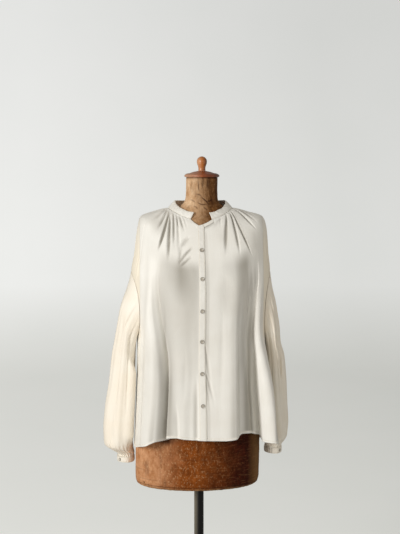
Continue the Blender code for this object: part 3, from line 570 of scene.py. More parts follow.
def relief(level, deg):
    """How far the silk stands out from its smooth oval: folds that hang and grow towards the
    hem, the finer troughs, and a slight ripple."""
    full = FULLNESS * (1 - smooth(level, 1.2, 4.8)) * (0.3 + 0.7 * smooth(level, 0.0, 0.35))
    slight = 0.16 * ripple(wrap(deg) * DEG_MM, ring(BLOUSE, level, deg)[..., 2], 3, 7, 90, 30)
    return (full + lift(level, deg) + hanging(level, deg, FOLDS) + fine_relief(level, deg)
            + slight * smooth(level, 0.5, 2.5))


def grey_share(level, deg):
    """Share of painted shade: the fold table's, more deep in the troughs, and at the listed
    places and bands of the front. On the turned hem most of it is taken away."""
    x, _, z = np.moveaxis(ring(BLOUSE, level, deg), -1, 0)
    share = 0.01 * hanging(level, deg, PAINTED_FOLD_SHADING) * smooth(level, 2.9, 3.95)
    # painted shade deep in the troughs, where shade falls
    share = share + 0.1 * np.clip(-fine_relief(level, deg) - 0.4, 0, 8)
    placed_grey = patches(x, z, PAINTED_SHADING_SPOTS) - troughs(x, z, PAINTED_SHADING_BANDS)
    share = share + np.where(np.cos(np.radians(deg)) > 0, placed_grey, 0)
    return np.clip(share, 0, 0.8) * (1 - 0.7 * smooth(level, 9.945, 9.96))


def blouse(level, deg, out=0.0):
    """Outer surface of the silk: the oval moved out by its relief, the hem at its own height."""
    away = relief(level, deg) + out
    p = ring(BLOUSE, level, deg) + ring_normal(BLOUSE, level, deg) * away[..., None]
    p[..., 1] -= hanging(level, deg, LAPS)
    p[..., 2] += smooth(level, 8.0, HEM_LEVEL) * (curve(*zip(*HEM), wrap(deg)) - BLOUSE[-1][-1])
    return p


def side_cut(level):
    """Share of the armhole's reach at a level: half an ellipse."""
    t = np.clip((level - ARM_TOP) / (ARM_LOW - ARM_TOP), 0, 1)
    return 2 * np.sqrt(t * (1 - t))


def x_columns(level, xs):
    """Angles of columns given by their distance from the placket's middle, in X."""
    rows = np.arange(len(BLOUSE))
    left, right = list(zip(*BLOUSE))[:2]
    x = curve(*zip(*PLACKET_LINE), level) + xs
    return np.degrees(np.arcsin(x / np.where(x < 0, curve(rows, left, level),
                                             curve(rows, right, level))))


def lower_top(level, angle):
    """Moves a panel's upper rows down to the neck edge, keeping their order."""
    top = top_level(angle)
    return np.where(level < ARM_TOP, top + level * (ARM_TOP - top) / ARM_TOP, level + 0 * angle)


def panel_levels():
    """Rows: close below the collar, evenly round the armhole, close again at the turned hem."""
    phi = np.linspace(0, math.pi, 53)
    arm = ARM_TOP + (ARM_LOW - ARM_TOP) * (1 - np.cos(phi)) / 2
    return np.concatenate([np.linspace(0, 2.2, 62)[:-1], np.linspace(2.2, ARM_TOP, 62)[:-1], arm,
                           np.linspace(ARM_LOW, 9.93, 62)[1:],
                           [9.952, 9.957, 9.963, 9.985, HEM_LEVEL]])[:, None]


def crowded(start, stop, middle, half, times=5, count=152):
    """Even columns, but closer by the given times round a middle: the places where an even
    share of the summed density is reached."""
    x = np.linspace(start, stop, 4000)
    total = np.cumsum(1 + times * bump((x - middle) / half))
    return np.interp(np.linspace(total[0], total[-1], count), total, x)[None, :]


def round_armhole(level, turn, sides, face):
    """Angles of a panel's points. The columns follow the folds' fan, and near a side they bend
    round the armhole."""
    deg = unfanned(level, turn)
    angle = deg.copy()
    for side in sides:
        away = wrap(deg - side)
        way = np.where(away == 0, 1, np.sign(away))
        cut = side_cut(level) * ARM_REACH[(1 if side == 90.0 else -1, face)]
        angle += way * cut * smooth(np.abs(away), 52.0, 0.0)
    return angle


# ---------------------------------------------------------------- meshes
def surface(name, p, material, uv=None, closed=False, wall=None, faces_in=False, **shares):
    """Mesh of one sheet from a grid of points (rows, columns), in mm. closed joins the last
    column to the first, and faces_in is for a grid that runs the other way round. uv is the
    cloth's own flat place in mm. wall adds Solidify inwards. Each share becomes an attribute:
    stitch is the signed distance in mm to the nearest row of stitches, along the way along it."""
    rows, cols = p.shape[:2]
    index = np.arange(rows * cols).reshape(rows, cols)
    right = np.roll(index, -1, 1) if closed else index[:, 1:]
    left = index if closed else index[:, :-1]
    quads = np.stack([left[:-1], left[1:], right[1:], right[:-1]], -1).reshape(-1, 4)
    if faces_in:
        quads = quads[:, ::-1]
    mesh = bpy.data.meshes.new(name)
    mesh.from_pydata((p.reshape(-1, 3) * MM).tolist(), [], quads.tolist())
    mesh.polygons.foreach_set("use_smooth", np.ones(len(quads), bool))
    mesh.materials.append(material)
    if uv is not None:
        flat = np.stack(np.broadcast_arrays(*uv), -1).reshape(-1, 2)[quads.reshape(-1)] * MM
        mesh.uv_layers.new(name="cloth").data.foreach_set("uv", flat.astype(np.float32).reshape(-1))
    for key, value in shares.items():
        value = np.broadcast_to(value, (rows, cols)).astype(np.float32).reshape(-1)
        mesh.attributes.new(key, "FLOAT", "POINT").data.foreach_set("value", value)
    mesh.update()
    obj = bpy.data.objects.new(name, mesh)
    bpy.context.scene.collection.objects.link(obj)
    if wall:
        solid = obj.modifiers.new("wall", "SOLIDIFY")
        solid.thickness, solid.offset = wall * MM, -1
        solid.use_even_offset = False
    return obj


def placed(piece, node_name=None):
    """Puts a piece on the part's one body and hides the solid it stands for, if one is given."""
    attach(piece, "root")
    if node_name:
        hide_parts(node_name)
    return piece


def nearest_row(*lines):
    """Of several signed distances, the one nearest to 0 at each point."""
    lines = np.stack(np.broadcast_arrays(*lines))
    return np.take_along_axis(lines, np.abs(lines).argmin(0)[None], 0)[0]


def arc(p, axis):
    """Distance in mm along a grid, starting from 0, on the given axis."""
    step = np.linalg.norm(np.diff(p, axis=axis), axis=-1)
    return np.concatenate([np.zeros_like(np.take(step, [0], axis)), np.cumsum(step, axis)], axis)


def turned(name, profile, material, steps, place=(0, 0, 0)):
    """Turned piece about Z: a profile of (radius, height) pairs, bottom to top, carried round a
    full circle and closed at both ends close to its axis."""
    profile = np.vstack([(0.01, profile[0, 1]), profile, (0.01, profile[-1, 1])])
    r, z = profile[:, :1], profile[:, 1:]
    a = np.arange(steps) * 2 * math.pi / steps
    p = np.stack(np.broadcast_arrays(r * np.cos(a), r * np.sin(a), z), -1) + place
    return surface(name, p, material, closed=True, faces_in=True)


def rounded(points, radius, steps):
    """Profile whose inner corners are rounded off: each corner becomes a short quadratic curve
    between points a radius before and after it."""
    pts = np.asarray(points, float)
    here, t = pts[1:-1, None], np.linspace(0, 1, steps + 1)[:, None]
    ends = []
    for other in (pts[:-2, None], pts[2:, None]):
        length = np.linalg.norm(other - here, axis=-1, keepdims=True)
        ends.append(here + (other - here) / length * np.minimum(radius, length / 2.1))
    bend = ends[0] * (1 - t) ** 2 + here * 2 * t * (1 - t) + ends[1] * t * t
    return np.concatenate([pts[:1], bend.reshape(-1, 2), pts[-1:]])


# ---------------------------------------------------------------- materials
# settings that recur in the nodes below
MIX = dict(kind="ShaderNodeMix", out=2, data_type="RGBA")    # inputs 0 share, 6 below, 7 above
MATH = dict(kind="ShaderNodeMath")                           # inputs 0, 1 and 2
SPAN = dict(kind="ShaderNodeMapRange")                       # inputs 0 value, 1-2 from, 3-4 to
OWN = dict(kind="ShaderNodeAttribute", out="Fac")            # the mesh's own value by name
AXES = dict(kind="ShaderNodeSeparateXYZ")                    # outputs 0, 1 and 2
STITCH_LONG, STITCH_STEP, STITCH_HALF = 3.0, 4.0, 0.45


def linear(code):
    """sRGB hex colour as linear RGBA; a socket stays as it is."""
    if not isinstance(code, str):
        return code
    c = np.array([int(code[i:i + 2], 16) for i in (0, 2, 4)]) / 255
    return (*np.where(c <= 0.04045, c / 12.92, ((c + 0.055) / 1.055) ** 2.4), 1.0)


def node(tree, kind, out=0, **settings):
    """Adds a node of a kind, or takes one that is there, and returns one of its outputs. A
    setting is a property, or after in_ an input's number or name with its value or its link."""
    n = tree.nodes.new(kind) if isinstance(kind, str) else kind
    for key, value in settings.items():
        if not key.startswith("in_"):
            setattr(n, key, value)
            continue
        socket = n.inputs[int(key[3:]) if key[3:].isdigit() else key[3:].replace("_", " ")]
        if isinstance(value, bpy.types.NodeSocket):
            tree.links.new(value, socket)
        else:
            socket.default_value = value
    return n.outputs[out]


def new_material(name, **sockets):
    """A material, its node tree, its Principled shader with the given sockets, and the
    object's own coordinates."""
    m = bpy.data.materials.new(name)
    m.use_nodes = True
    shader = next(n for n in m.node_tree.nodes if n.type == "BSDF_PRINCIPLED")
    node(m.node_tree, shader, **sockets)
    return m, m.node_tree, shader, node(m.node_tree, "ShaderNodeTexCoord", "Object")


def pattern(tree, coords, size_mm, detail, rough, low, high, stretch=(1, 1, 1)):
    """Noise whose blobs are about size_mm, stretched along an axis, its contrast between low
    and high. Returns a 0 to 1 socket."""
    scale = tuple(1 / (size_mm * MM * s) for s in stretch)
    place = node(tree, "ShaderNodeMapping", in_0=coords, in_3=scale)
    noise = node(tree, "ShaderNodeTexNoise", in_0=place, in_2=1.0, in_3=detail, in_4=rough)
    return node(tree, **SPAN, in_0=noise, in_1=low, in_2=high)


def layered(tree, colour, *layers):
    """A colour with others laid over it in turn. Each layer is a share, how much of that share
    counts, and its colour."""
    colour = linear(colour)
    for share, most, tint in layers:
        share = node(tree, **MATH, operation="MULTIPLY", in_0=share, in_1=most)
        colour = node(tree, **MIX, in_0=share, in_6=colour, in_7=linear(tint))
    return colour


def raised(tree, strength, distance, *parts):
    """Normal of a surface raised by the sum of the parts, each a pattern and its height."""
    height = 0.0
    for part, most in parts:
        height = node(tree, **MATH, operation="MULTIPLY_ADD", in_0=part, in_1=most, in_2=height)
    return node(tree, "ShaderNodeBump", in_0=strength, in_1=distance, in_Height=height)


def silk(name, light, shade, thread):
    """Plain-weave silk, woven and piece-dyed ivory: a soft broad sheen, slubs that run along
    the warp, and a faint crumple. Threads are 0.15 mm apart, too fine to show, so the weave
    is drawn as a 1.6 mm grain. The stitches are 3 mm long on 4 mm, and 0.9 mm thick where
    real thread is 0.3, so that they show."""
    m, tree, shader, solid = new_material(
        name, in_Roughness=0.52, in_Sheen_Weight=0.22, in_Sheen_Roughness=0.42,
        in_Sheen_Tint=linear("fff8ec"), in_Specular_IOR_Level=0.38)
    cloth = node(tree, "ShaderNodeTexCoord", "UV")
    slub = pattern(tree, cloth, 3.2, 2, 0.5, 0.35, 0.7, (1, 22, 1))
    grain = pattern(tree, cloth, 1.6, 1, 0.5, 0.3, 0.7, (1, 1.3, 1))
    cloudy = pattern(tree, solid, 70, 2, 0.5, 0.35, 0.65)
    crumple = pattern(tree, solid, 26, 4, 0.55, 0.25, 0.75, (1, 1, 2.2))
    grey, cream, off, run = (node(tree, **OWN, attribute_name=key)
                             for key in ("grey", "cream", "stitch", "along"))
    off = node(tree, **MATH, operation="ABSOLUTE", in_0=off)
    near = node(tree, **MATH, operation="LESS_THAN", in_0=off, in_1=STITCH_HALF)
    beat = node(tree, **MATH, operation="WRAP", in_0=run, in_1=STITCH_STEP, in_2=0.0)
    on = node(tree, **MATH, operation="LESS_THAN", in_0=beat, in_1=STITCH_LONG)
    dash = node(tree, **MATH, operation="MULTIPLY", in_0=near, in_1=on)
    groove = node(tree, **SPAN, in_0=off, in_1=0.0, in_2=1.3)
    # painted shade in the groove along each row of stitches
    painted_groove_shade = node(tree, **SPAN, in_0=groove, in_3=1.0, in_4=0.0)
    # Colours painted for light and shade: 857f72 is painted shade, f9f0de a warmer tint painted for
    # light through a single layer, b9ac93 painted shade along the stitch grooves
    colour = layered(tree, light, (cloudy, 1, shade), (slub, 0.10, thread), (grey, 1, "857f72"),
                     (cream, 1, "f9f0de"), (painted_groove_shade, 0.34, "b9ac93"), (dash, 0.8, "f4ecdc"))
    normal = raised(tree, 0.5, MM, (grain, 0.05), (slub, 0.04), (crumple, 0.35), (groove, 0.35),
                    (dash, 0.3))
    node(tree, shader, in_Base_Color=colour, in_Normal=normal)
    return m


def shell():
    """River shell, sawn and polished: greyish beige with cloudy pearly bands, darker bark on the
    rim, a hard gloss. The same dark colour in the sewing holes is painted shade."""
    m, tree, shader, coords = new_material("polished river shell", in_Roughness=0.22, in_IOR=1.53,
                                           in_Coat_Weight=0.25, in_Coat_Roughness=0.1)
    bands = pattern(tree, coords, 3.5, 3, 0.55, 0.35, 0.65, (1, 1, 0.5))
    rim = node(tree, **OWN, attribute_name="rim")
    colour = layered(tree, "cbc5ba", (bands, 1, "a59e92"), (rim, 1, "4f483f"))
    node(tree, shader, in_Base_Color=colour)
    return m


def covering():
    """Oiled linen and paper stretched over papier-mache and varnished long ago: mottled tan to
    dark brown, paler at the worn lower edge. It is painted lighter towards -X and darker towards
    +X, on the body and on the neck, and its flecks too: painted light and shade of the window lamp."""
    m, tree, shader, coords = new_material("aged varnished linen covering",
                                           in_Specular_IOR_Level=0.08)
    x, z = (node(tree, **AXES, out=axis, in_0=coords) for axis in (0, 2))
    wide = pattern(tree, coords, 60, 3, 0.5, 0.3, 0.7)
    mottle = pattern(tree, coords, 14, 5, 0.65, 0.32, 0.68, (1, 1, 1.6))
    fleck = pattern(tree, coords, 4.6, 4, 0.7, 0.54, 0.68, (1, 1, 1.5))
    fibre = pattern(tree, coords, 5.0, 3, 0.6, 0.55, 0.75, (6, 6, 0.5))
    stain = pattern(tree, coords, 26, 4, 0.6, 0.55, 0.75, (1, 1, 2.4))
    # the line between the painted lighter and darker sides wanders by up to 20 mm
    side = node(tree, **MATH, operation="MULTIPLY_ADD", in_0=wide, in_1=0.04, in_2=x)
    # spans: painted light fading out towards the middle, painted shade towards +X, the neck, painted
    # shade on the neck's +X side, and a lighter band near the +X edge
    middle, painted_shaded_side, neck, painted_neck_shading, edge = (
        node(tree, **SPAN, in_0=place, in_1=start, in_2=end) for place, start, end in (
            (side, -0.15, -0.025), (side, 0.0, 0.13), (z, 1.2, 1.35), (x, -0.03, 0.03),
            (x, 0.138, 0.164)))
    worn, crease = (node(tree, **OWN, attribute_name=key) for key in ("worn", "crease"))
    # two copies, for the base and the mottle, each going from a painted lit colour through the middle
    # one to a painted shaded one
    light, dark = (
        layered(tree, window, (middle, 1, mid), (painted_shaded_side, 1, far),
                (neck, 1, layered(tree, neck_window, (painted_neck_shading, 1, neck_far))))
        for window, mid, far, neck_window, neck_far in (
            ("d6a27a", "8f4c18", "401306", "e8c8a4", "84582f"),
            ("b0774c", "653007", "260901", "b98c62", "553416")))
    chip = layered(tree, "e0b98c", (painted_shaded_side, 1, "74340f"))
    colour = layered(tree, light, (mottle, 1, dark), (stain, 0.5, "3b1c0d"), (fibre, 0.25, "c79664"),
                     (fleck, 0.42, chip), (edge, 0.6, "8f6a3e"), (worn, 1, "c39a6c"),
                     (crease, 1, "35180b"))
    rough = node(tree, **SPAN, in_0=mottle, in_3=0.5, in_4=0.7)
    normal = raised(tree, 0.7, MM, (mottle, 0.5), (fleck, 0.3), (fibre, 0.25))
    node(tree, shader, in_Base_Color=colour, in_Roughness=rough, in_Normal=normal)
    return m


def turned_wood(name, light, dark, rough, half_width):
    """Beech turned on a lathe and shellacked: fine lines of grain along the piece and a warm
    gloss. Its -X side is painted lighter and its +X side darker: painted light and shade."""
    m, tree, shader, coords = new_material(name, in_Roughness=rough, in_Coat_Weight=0.25,
                                           in_Coat_Roughness=0.3)
    grain = pattern(tree, coords, 2.2, 4, 0.6, 0.3, 0.7, (1, 1, 9))
    patch = pattern(tree, coords, 16, 3, 0.6, 0.35, 0.65)
    x = node(tree, **AXES, in_0=coords)
    middle = lean(NECK_TOP) * MM
    # painted light on the -X side, painted shade on the +X side
    painted_lit_side, brown = (node(tree, **SPAN, in_0=x, in_1=middle, in_2=middle + way * half_width)
                       for way in (-1, 1))
    colour = layered(tree, light, (grain, 1, dark), (patch, 0.4, dark), (painted_lit_side, 0.5, "ecc6a4"),
                     (brown, 0.75, "3d1c0c"))
    node(tree, shader, in_Base_Color=colour, in_Normal=raised(tree, 0.3, 0.3 * MM, (grain, 1)))
    return m


def black_enamel():
    """Mild steel tube dipped in black enamel: near black, a soft gloss, a little dust and fine
    scratches that show bare metal. A paler band on its -X side, fading out towards the floor, is a
    painted highlight."""
    m, tree, shader, coords = new_material("black stoved enamel on steel",
                                           in_Specular_IOR_Level=0.3)
    x, z = (node(tree, **AXES, out=axis, in_0=coords) for axis in (0, 2))
    scratch = pattern(tree, coords, 2.0, 4, 0.6, 0.58, 0.7, (1, 1, 26))
    dust = pattern(tree, coords, 12, 4, 0.6, 0.4, 0.7)
    # painted highlight down the -X side, fading out between 0.5 m and 0.1 m high
    painted_highlight = node(tree, **SPAN, in_0=x, in_1=-0.003, in_2=-0.011, in_4=0.9)
    upper = node(tree, **SPAN, in_0=z, in_1=0.1, in_2=0.5)
    colour = layered(tree, "030303", (dust, 0.4, "0d0c0b"), (scratch, 0.2, "4a4740"),
                     (painted_highlight, upper, "787264"))
    rough = node(tree, **SPAN, in_0=dust, in_3=0.42, in_4=0.56)
    node(tree, shader, in_Base_Color=colour, in_Roughness=rough)
    return m


BODY_SILK = silk("ivory silk crepe", "f5f4ef", "f1efe9", "dfdace")
# The sleeve silk is painted warmer than the body's, for light shining through its single layer.
LIT_THROUGH_SLEEVE_SILK = silk("ivory silk crepe, single layer with light behind", "f9f3e7", "f7eedf", "e6dcc8")
SHELL, COVER = shell(), covering()
CAP_WOOD = turned_wood("shellacked beech, red-brown", "b55c26", "6f2f0f", 0.42, 0.05)
KNOB_WOOD = turned_wood("shellacked beech, orange-brown", "cf8440", "a05418", 0.36, 0.015)
ENAMEL = black_enamel()


# ---------------------------------------------------------------- body panels
def body_sheet(node_name, level, angle, out=0.0, stitches=(), grey=0.0):
    """Panel of the blouse on its grid of levels and angles, with the turned hem, which is
    0.45 mm proud below its stitches, and the seam over the shoulder, past which the silk takes
    the sleeve's warmer colour, painted light that shines through a single layer. The last
    argument adds painted shade."""
    from_hem = (HEM_LEVEL - level) * HEM_LEVEL_MM
    out = out + 0.45 * (1 - smooth(from_hem, 6.0, 7.2)) - 0.25 * bump((from_hem - 6.6) / 1.2)
    p = blouse(level, angle, out)
    across, down = arc(p, 1), arc(p, 0)
    past = np.maximum(ARM_LINE[0] - p[..., 0], p[..., 0] - ARM_LINE[1])
    joined = np.where(level < ARM_LOW, past, NO_STITCH)
    upper = smooth(level, 1.5, 4.2) * (1 - smooth(level, 6.7, 7.1))
    piece = surface(node_name + "_silk", p, BODY_SILK, (across, 1000 - down), wall=SILK_T,
                    stitch=nearest_row(from_hem - HEM_STITCH, joined, *stitches),
                    along=across + down, cream=smooth(past, -0.5, 1.5) * upper,
                    grey=np.clip(grey_share(level, angle) + grey, 0, 0.8))
    return placed(piece, node_name)


levels = panel_levels()
half = between(PLACKET_HALF, levels)

# right front: from the side seam to its free edge under the placket
angle = round_armhole(levels, crowded(-89.9, -13.0, -30.3, 4.5), (-90.0,), 1)
free = x_columns(levels, half)
angle = np.hstack([angle, angle[:, -1:] + (free - angle[:, -1:]) * np.linspace(0, 1, 22)[1:]])
level = lower_top(levels, angle)
from_neck = (level - top_level(angle)) * NECK_LEVEL_MM
by_v = (angle > COLLAR_ENDS[0] - 2) & (angle < COLLAR_ENDS[1] + 2)
neckline = np.where(by_v, from_neck - 2.2, NO_STITCH)
front_right = body_sheet("front_right", level, angle, stitches=(neckline,))

# left front: passes under the placket, with a folded band along its side of the V
angle = round_armhole(levels, crowded(14.0, 89.9, 64.2, 4.5), (90.0,), 1)
first = x_columns(levels, -half - UNDERLAP)
angle = np.hstack([first + (angle[:, :1] - first) * np.linspace(0, 1, 24)[:-1], angle])
level = lower_top(levels, angle)
under = -(SILK_T + 0.3) * (1 - smooth(angle, free + 0.3, free + 1.8))
from_neck = (level - top_level(angle)) * NECK_LEVEL_MM
band = (angle > -9) & (angle < COLLAR_ENDS[1] + 1)
fold = np.where(band, 1.1 * (1 - smooth(from_neck, 8.6, 9.8)) - 0.5 * bump((from_neck - 10) / 1.6), 0)
neckline = np.where(band, nearest_row(from_neck - 7.6, from_neck - 1.8), NO_STITCH)
# painted shade just below the folded band, and beside the placket's free edge painted shadow of that
# edge
painted_shade_below_band = np.where(band, 0.5 * bump((from_neck - 10.4) / 2.2) + 0.3 * bump((from_neck - 13) / 6), 0)
beside = 0.28 * bump((angle - free - 1.2) / 2.6) * smooth(level, 0.5, 1.2)
front_left = body_sheet("front_left", level, angle, under + fold, (neckline,), painted_shade_below_band + beside)

# back
angle = round_armhole(levels, np.linspace(90.1, 269.9, 162)[None, :], (90.0, 270.0), -1)
back = body_sheet("back", levels + 0 * angle, angle)

# placket: the band the buttons sit on, sewn down near both edges, a little full between the
# stitches and pulled flat at each button
share = np.linspace(-1, 1, 19)[None, :]
angle = x_columns(levels, half * share)
level = lower_top(levels, angle)
z_here = ring(BLOUSE, level, angle)[..., 2]
edge_mm = half * (1 - np.abs(share))
full = 0.45 * smooth(edge_mm, 0.0, 3.2) - 0.35 * bump((edge_mm - NARROW_STITCH) / 1.1)
pull = sum(bump((z_here - z) / 16.0) for z in BUTTON_Z)
wave = 0.28 * ripple(share * half, z_here * 3.2, 11, 7, 40, 16, 1.0) * (1 - 0.6 * np.clip(pull, 0, 1))
p = blouse(level, angle, SEAM + 0.45 + full + wave)
p[0] += 0.12 * (p[1] - p[0])
# the placket's silk is evenly a little darker: painted shade
placket = placed(surface("placket_silk", p, BODY_SILK, (arc(p, 1), 1000 - arc(p, 0)), wall=0.4,
                         stitch=edge_mm - NARROW_STITCH, along=arc(p, 0), grey=0.08),
                 "placket")

# ---------------------------------------------------------------- collar
COLLAR_TOP = (77, 70, 69, 57, 1405, 1371, 1403)      # the collar's upper edge, as a blouse level
COLLAR_SLANT = 1.6                                   # degrees its ends lean over
COLLAR_DEG_MM, END_DEG_MM = 1.7, 1.6                 # arc of one degree, all round and at an end
t = np.linspace(1, 0, 22)[:, None]
start = COLLAR_ENDS[1] - COLLAR_SLANT * t
stop = 360 + COLLAR_ENDS[0] + COLLAR_SLANT * t
deg = start + (stop - start) * np.linspace(0, 1, 300)
low = ring(BLOUSE, 0 * deg, deg)
top = ring((COLLAR_TOP, COLLAR_TOP), 0 * deg, deg)
facing = np.clip(np.cos(np.radians(deg)), 0, 1)
top[..., 2] -= 34 * facing * (1 - facing)
low = low + (SEAM + 0.25) * unit(top - low)
height = np.linalg.norm(top - low, axis=-1)
edge_mm = np.minimum(t, 1 - t) * height
side_mm = np.minimum(deg - start, stop - deg) * END_DEG_MM
around = deg * COLLAR_DEG_MM
puff = (1.4 * np.sin(t * math.pi) - 0.4 * bump((edge_mm - EDGE_STITCH) / 1.3)
        - 0.35 * bump((side_mm - 2.2) / 1.3)
        + 0.8 * ripple(around, t * 60, 21, 8, 46, 12, 1.0) * (0.35 + 0.65 * t)
        + 0.5 * np.sin(np.radians(deg) * 52) * (1 - smooth(t, 0.0, 0.3))
        * smooth(np.abs(wrap(deg)), 36, 50))
p = low + (top - low) * t[..., None] + unit(low * (1, 1, 0)) * puff[..., None]
p[..., 2] += 0.7 * t * ripple(around, 0 * t, 22, 5, 90, 35, 1.0)
collar = placed(surface("collar_silk", p, BODY_SILK, (arc(p, 1), 400 - arc(p, 0)), wall=1.8,
                        stitch=nearest_row(edge_mm - EDGE_STITCH, side_mm - 2.2),
                        along=around + t * height),
                "collar_band")


# ---------------------------------------------------------------- sleeves and cuffs
SLEEVE_DEG_MM, TROUGH_DEG_MM, CUFF_DEG_MM = 1.35, 1.2, 0.55
# ^ one degree in mm: round a sleeve, in its tables of troughs, round a cuff


def cuff_gathers(phi, v, seed, count=26):
    """Gathers above a cuff: troughs at seeded, uneven angles, each with its own depth and
    starting height, that run down into the cuff."""
    rng = np.random.default_rng(seed)
    out = np.zeros_like(v + phi)
    for k in range(count):
        centre = 360 / count * (k + rng.uniform(-0.3, 0.3))
        width, depth = rng.uniform(4.2, 7.5), rng.uniform(1.8, 5.0)
        begin, sway = rng.uniform(0.84, 0.94), rng.uniform(-9, 9)
        x = wrap(phi - centre - sway * (1 - v) * 3) / width
        out -= depth * bump(x) * smooth(v, begin, 0.965) * (1 - 0.45 * smooth(v, 0.97, 1.0))
    return out + 2.2 * smooth(v, 0.86, 0.95) * (1 - smooth(v, 0.965, 1.0))


def long_folds(phi, v, table):
    """Sum of a sleeve's long folds, each a bump across that comes and goes over an eighth of
    the length."""
    return sum(reach * bump(wrap(phi - centre) / half_deg)
               * smooth(v, begin, begin + 0.12) * (1 - smooth(v, finish - 0.12, finish))
               for centre, half_deg, reach, begin, finish in table)


def sleeve(node_name, sign, table, folds, fine, cuff, seed):
    """From the armhole's own points down to the cuff: each line starts on the armhole and
    swings out into a hanging oval whose edges follow the sleeve table, moved by long folds,
    finer troughs and the cuff's gathers."""
    phi = np.arange(0, 360, 2.0)[None, :]
    v = np.concatenate([np.linspace(0, 0.2, 44)[:-1], np.linspace(0.2, 0.8, 96)[:-1],
                        np.linspace(0.8, 1.0, 52)])[:, None]
    a = np.radians(phi)
    cos, sin = np.cos(a), np.sin(a)
    # the armhole's edge, where the panels end
    arm = ARM_TOP + (ARM_LOW - ARM_TOP) * (1 - cos) / 2
    reach = np.where(phi <= 180, ARM_REACH[(sign, 1)], -ARM_REACH[(sign, -1)])
    deg = sign * (90 - reach * np.abs(sin))
    hole = blouse(arm, deg)
    into = unit(hole.mean(axis=1, keepdims=True) - hole)
    start = hole + 0.7 * ring_normal(BLOUSE, arm, deg) - 0.9 * into
    _, cuff_x, cuff_y, cuff_half, cuff_deep, _, cuff_top = cuff
    z = start[..., 2] + (cuff_top + SEAM - start[..., 2]) * v
    # folds
    turn = wrap(phi - 30) + 30
    uneven = 0.35 * ripple(turn * TROUGH_DEG_MM, z, seed + 1, 6, 80, 30, 6.0) * smooth(v, 0.05, 0.3)
    fine_fold = troughs(turn * TROUGH_DEG_MM, z, fine, TROUGH_DEG_MM) + uneven
    fine_fold *= 1 - smooth(np.abs(turn - 30), 150, 176) * 0.9
    end = smooth(v, 0.93, 1.0)
    seam_tucks = 0.8 * np.sin(a * 60 + 2 * np.sin(a * 5)) * bump((v - 0.02) / 0.05)
    fold = (long_folds(phi, v, folds) + fine_fold * (1 - 0.8 * end) + cuff_gathers(phi, v, seed)
            + seam_tucks)
    # the hanging oval, which becomes the cuff's at the end
    heights, *columns = zip(*table)
    outer, inner, mid, deep = (curve([-h for h in heights], c, -z) for c in columns)
    half_x = (outer - inner) / 2 * (1 - end) + cuff_half * end
    half_y = deep * (1 - end) + cuff_deep * end
    mid_x = (outer + inner) / 2 * (1 - end) + cuff_x * end
    mid_y = mid * (1 - end) + cuff_y * end
    flat_cos, flat_sin = (np.sign(c) * np.abs(c) ** 0.9 for c in (cos, sin))
    x = lean(z) + sign * (mid_x + (half_x + fold) * flat_cos)
    y = mid_y - (half_y + fold) * flat_sin
    swing = 1 - (1 - np.clip(v / 0.2, 0, 1)) ** 2
    p = np.stack([start[..., 0] + (x - start[..., 0]) * swing,
                  start[..., 1] + (y - start[..., 1]) * swing, z], -1)
    down = arc(p, 0)
    around = phi * SLEEVE_DEG_MM
    piece = surface(node_name + "_silk", p, LIT_THROUGH_SLEEVE_SILK, (around, 900 - down), True,
                    faces_in=sign > 0, wall=SILK_T, stitch=down[-1:] - down - 1.6, along=around)
    return placed(piece, node_name)


def cuff_band(node_name, seed, painted_shadow_share):
    """Short band: an oval tube, slightly full between its two rows of edge stitches, with painted
    shadow of the given share, in upright streaks, on its -X side."""
    sign, mid_x, mid_y, half_x, half_y, low_z, high_z = CUFFS[node_name]
    phi = np.linspace(0, 360, 181)[None, :-1]
    a, around = np.radians(phi), phi * CUFF_DEG_MM
    z = np.linspace(high_z, low_z, 14)[:, None]
    edge = np.minimum(z - low_z, high_z - z)
    full = (0.5 * smooth(edge, 0, 3) - 0.35 * bump((edge - EDGE_STITCH) / 1.2)
            + 0.35 * ripple(around, z, seed, 7, 30, 9, 1.0))
    x = sign * mid_x + lean(low_z) + (half_x + full) * np.cos(a)
    y = mid_y + (half_y + full) * np.sin(a)
    wavy = z + 0.5 * np.sin(a * 3 + seed) * smooth(high_z - z, 3, 12)
    piece = surface(node_name + "_silk", np.stack([x, y, wavy], -1), LIT_THROUGH_SLEEVE_SILK, (around, z), True,
                    faces_in=True, wall=1.6, stitch=edge - EDGE_STITCH, along=around,
                    grey=painted_shadow_share * bump((np.cos(a) + 0.35) / 0.5) * (0.6 + 0.4 * np.sin(a * 23)))
    return placed(piece, node_name)


sleeve_right = sleeve("sleeve_right", -1, SLEEVE_MINUS, FOLDS_MINUS, TROUGHS_MINUS,
                      CUFFS["cuff_right"], 5)
sleeve_left = sleeve("sleeve_left", 1, SLEEVE_PLUS, FOLDS_PLUS, TROUGHS_PLUS, CUFFS["cuff_left"], 8)
cuff_right = cuff_band("cuff_right", 1, 0.15)
cuff_left = cuff_band("cuff_left", 2, 0.6)


# ---------------------------------------------------------------- buttons
def button_axes(normal):
    """A button's own directions: out of the cloth, to its side and up."""
    out = unit(np.asarray(normal, float))
    side = unit(np.cross((0, 0, 1), out))
    return out, side, np.cross(out, side)


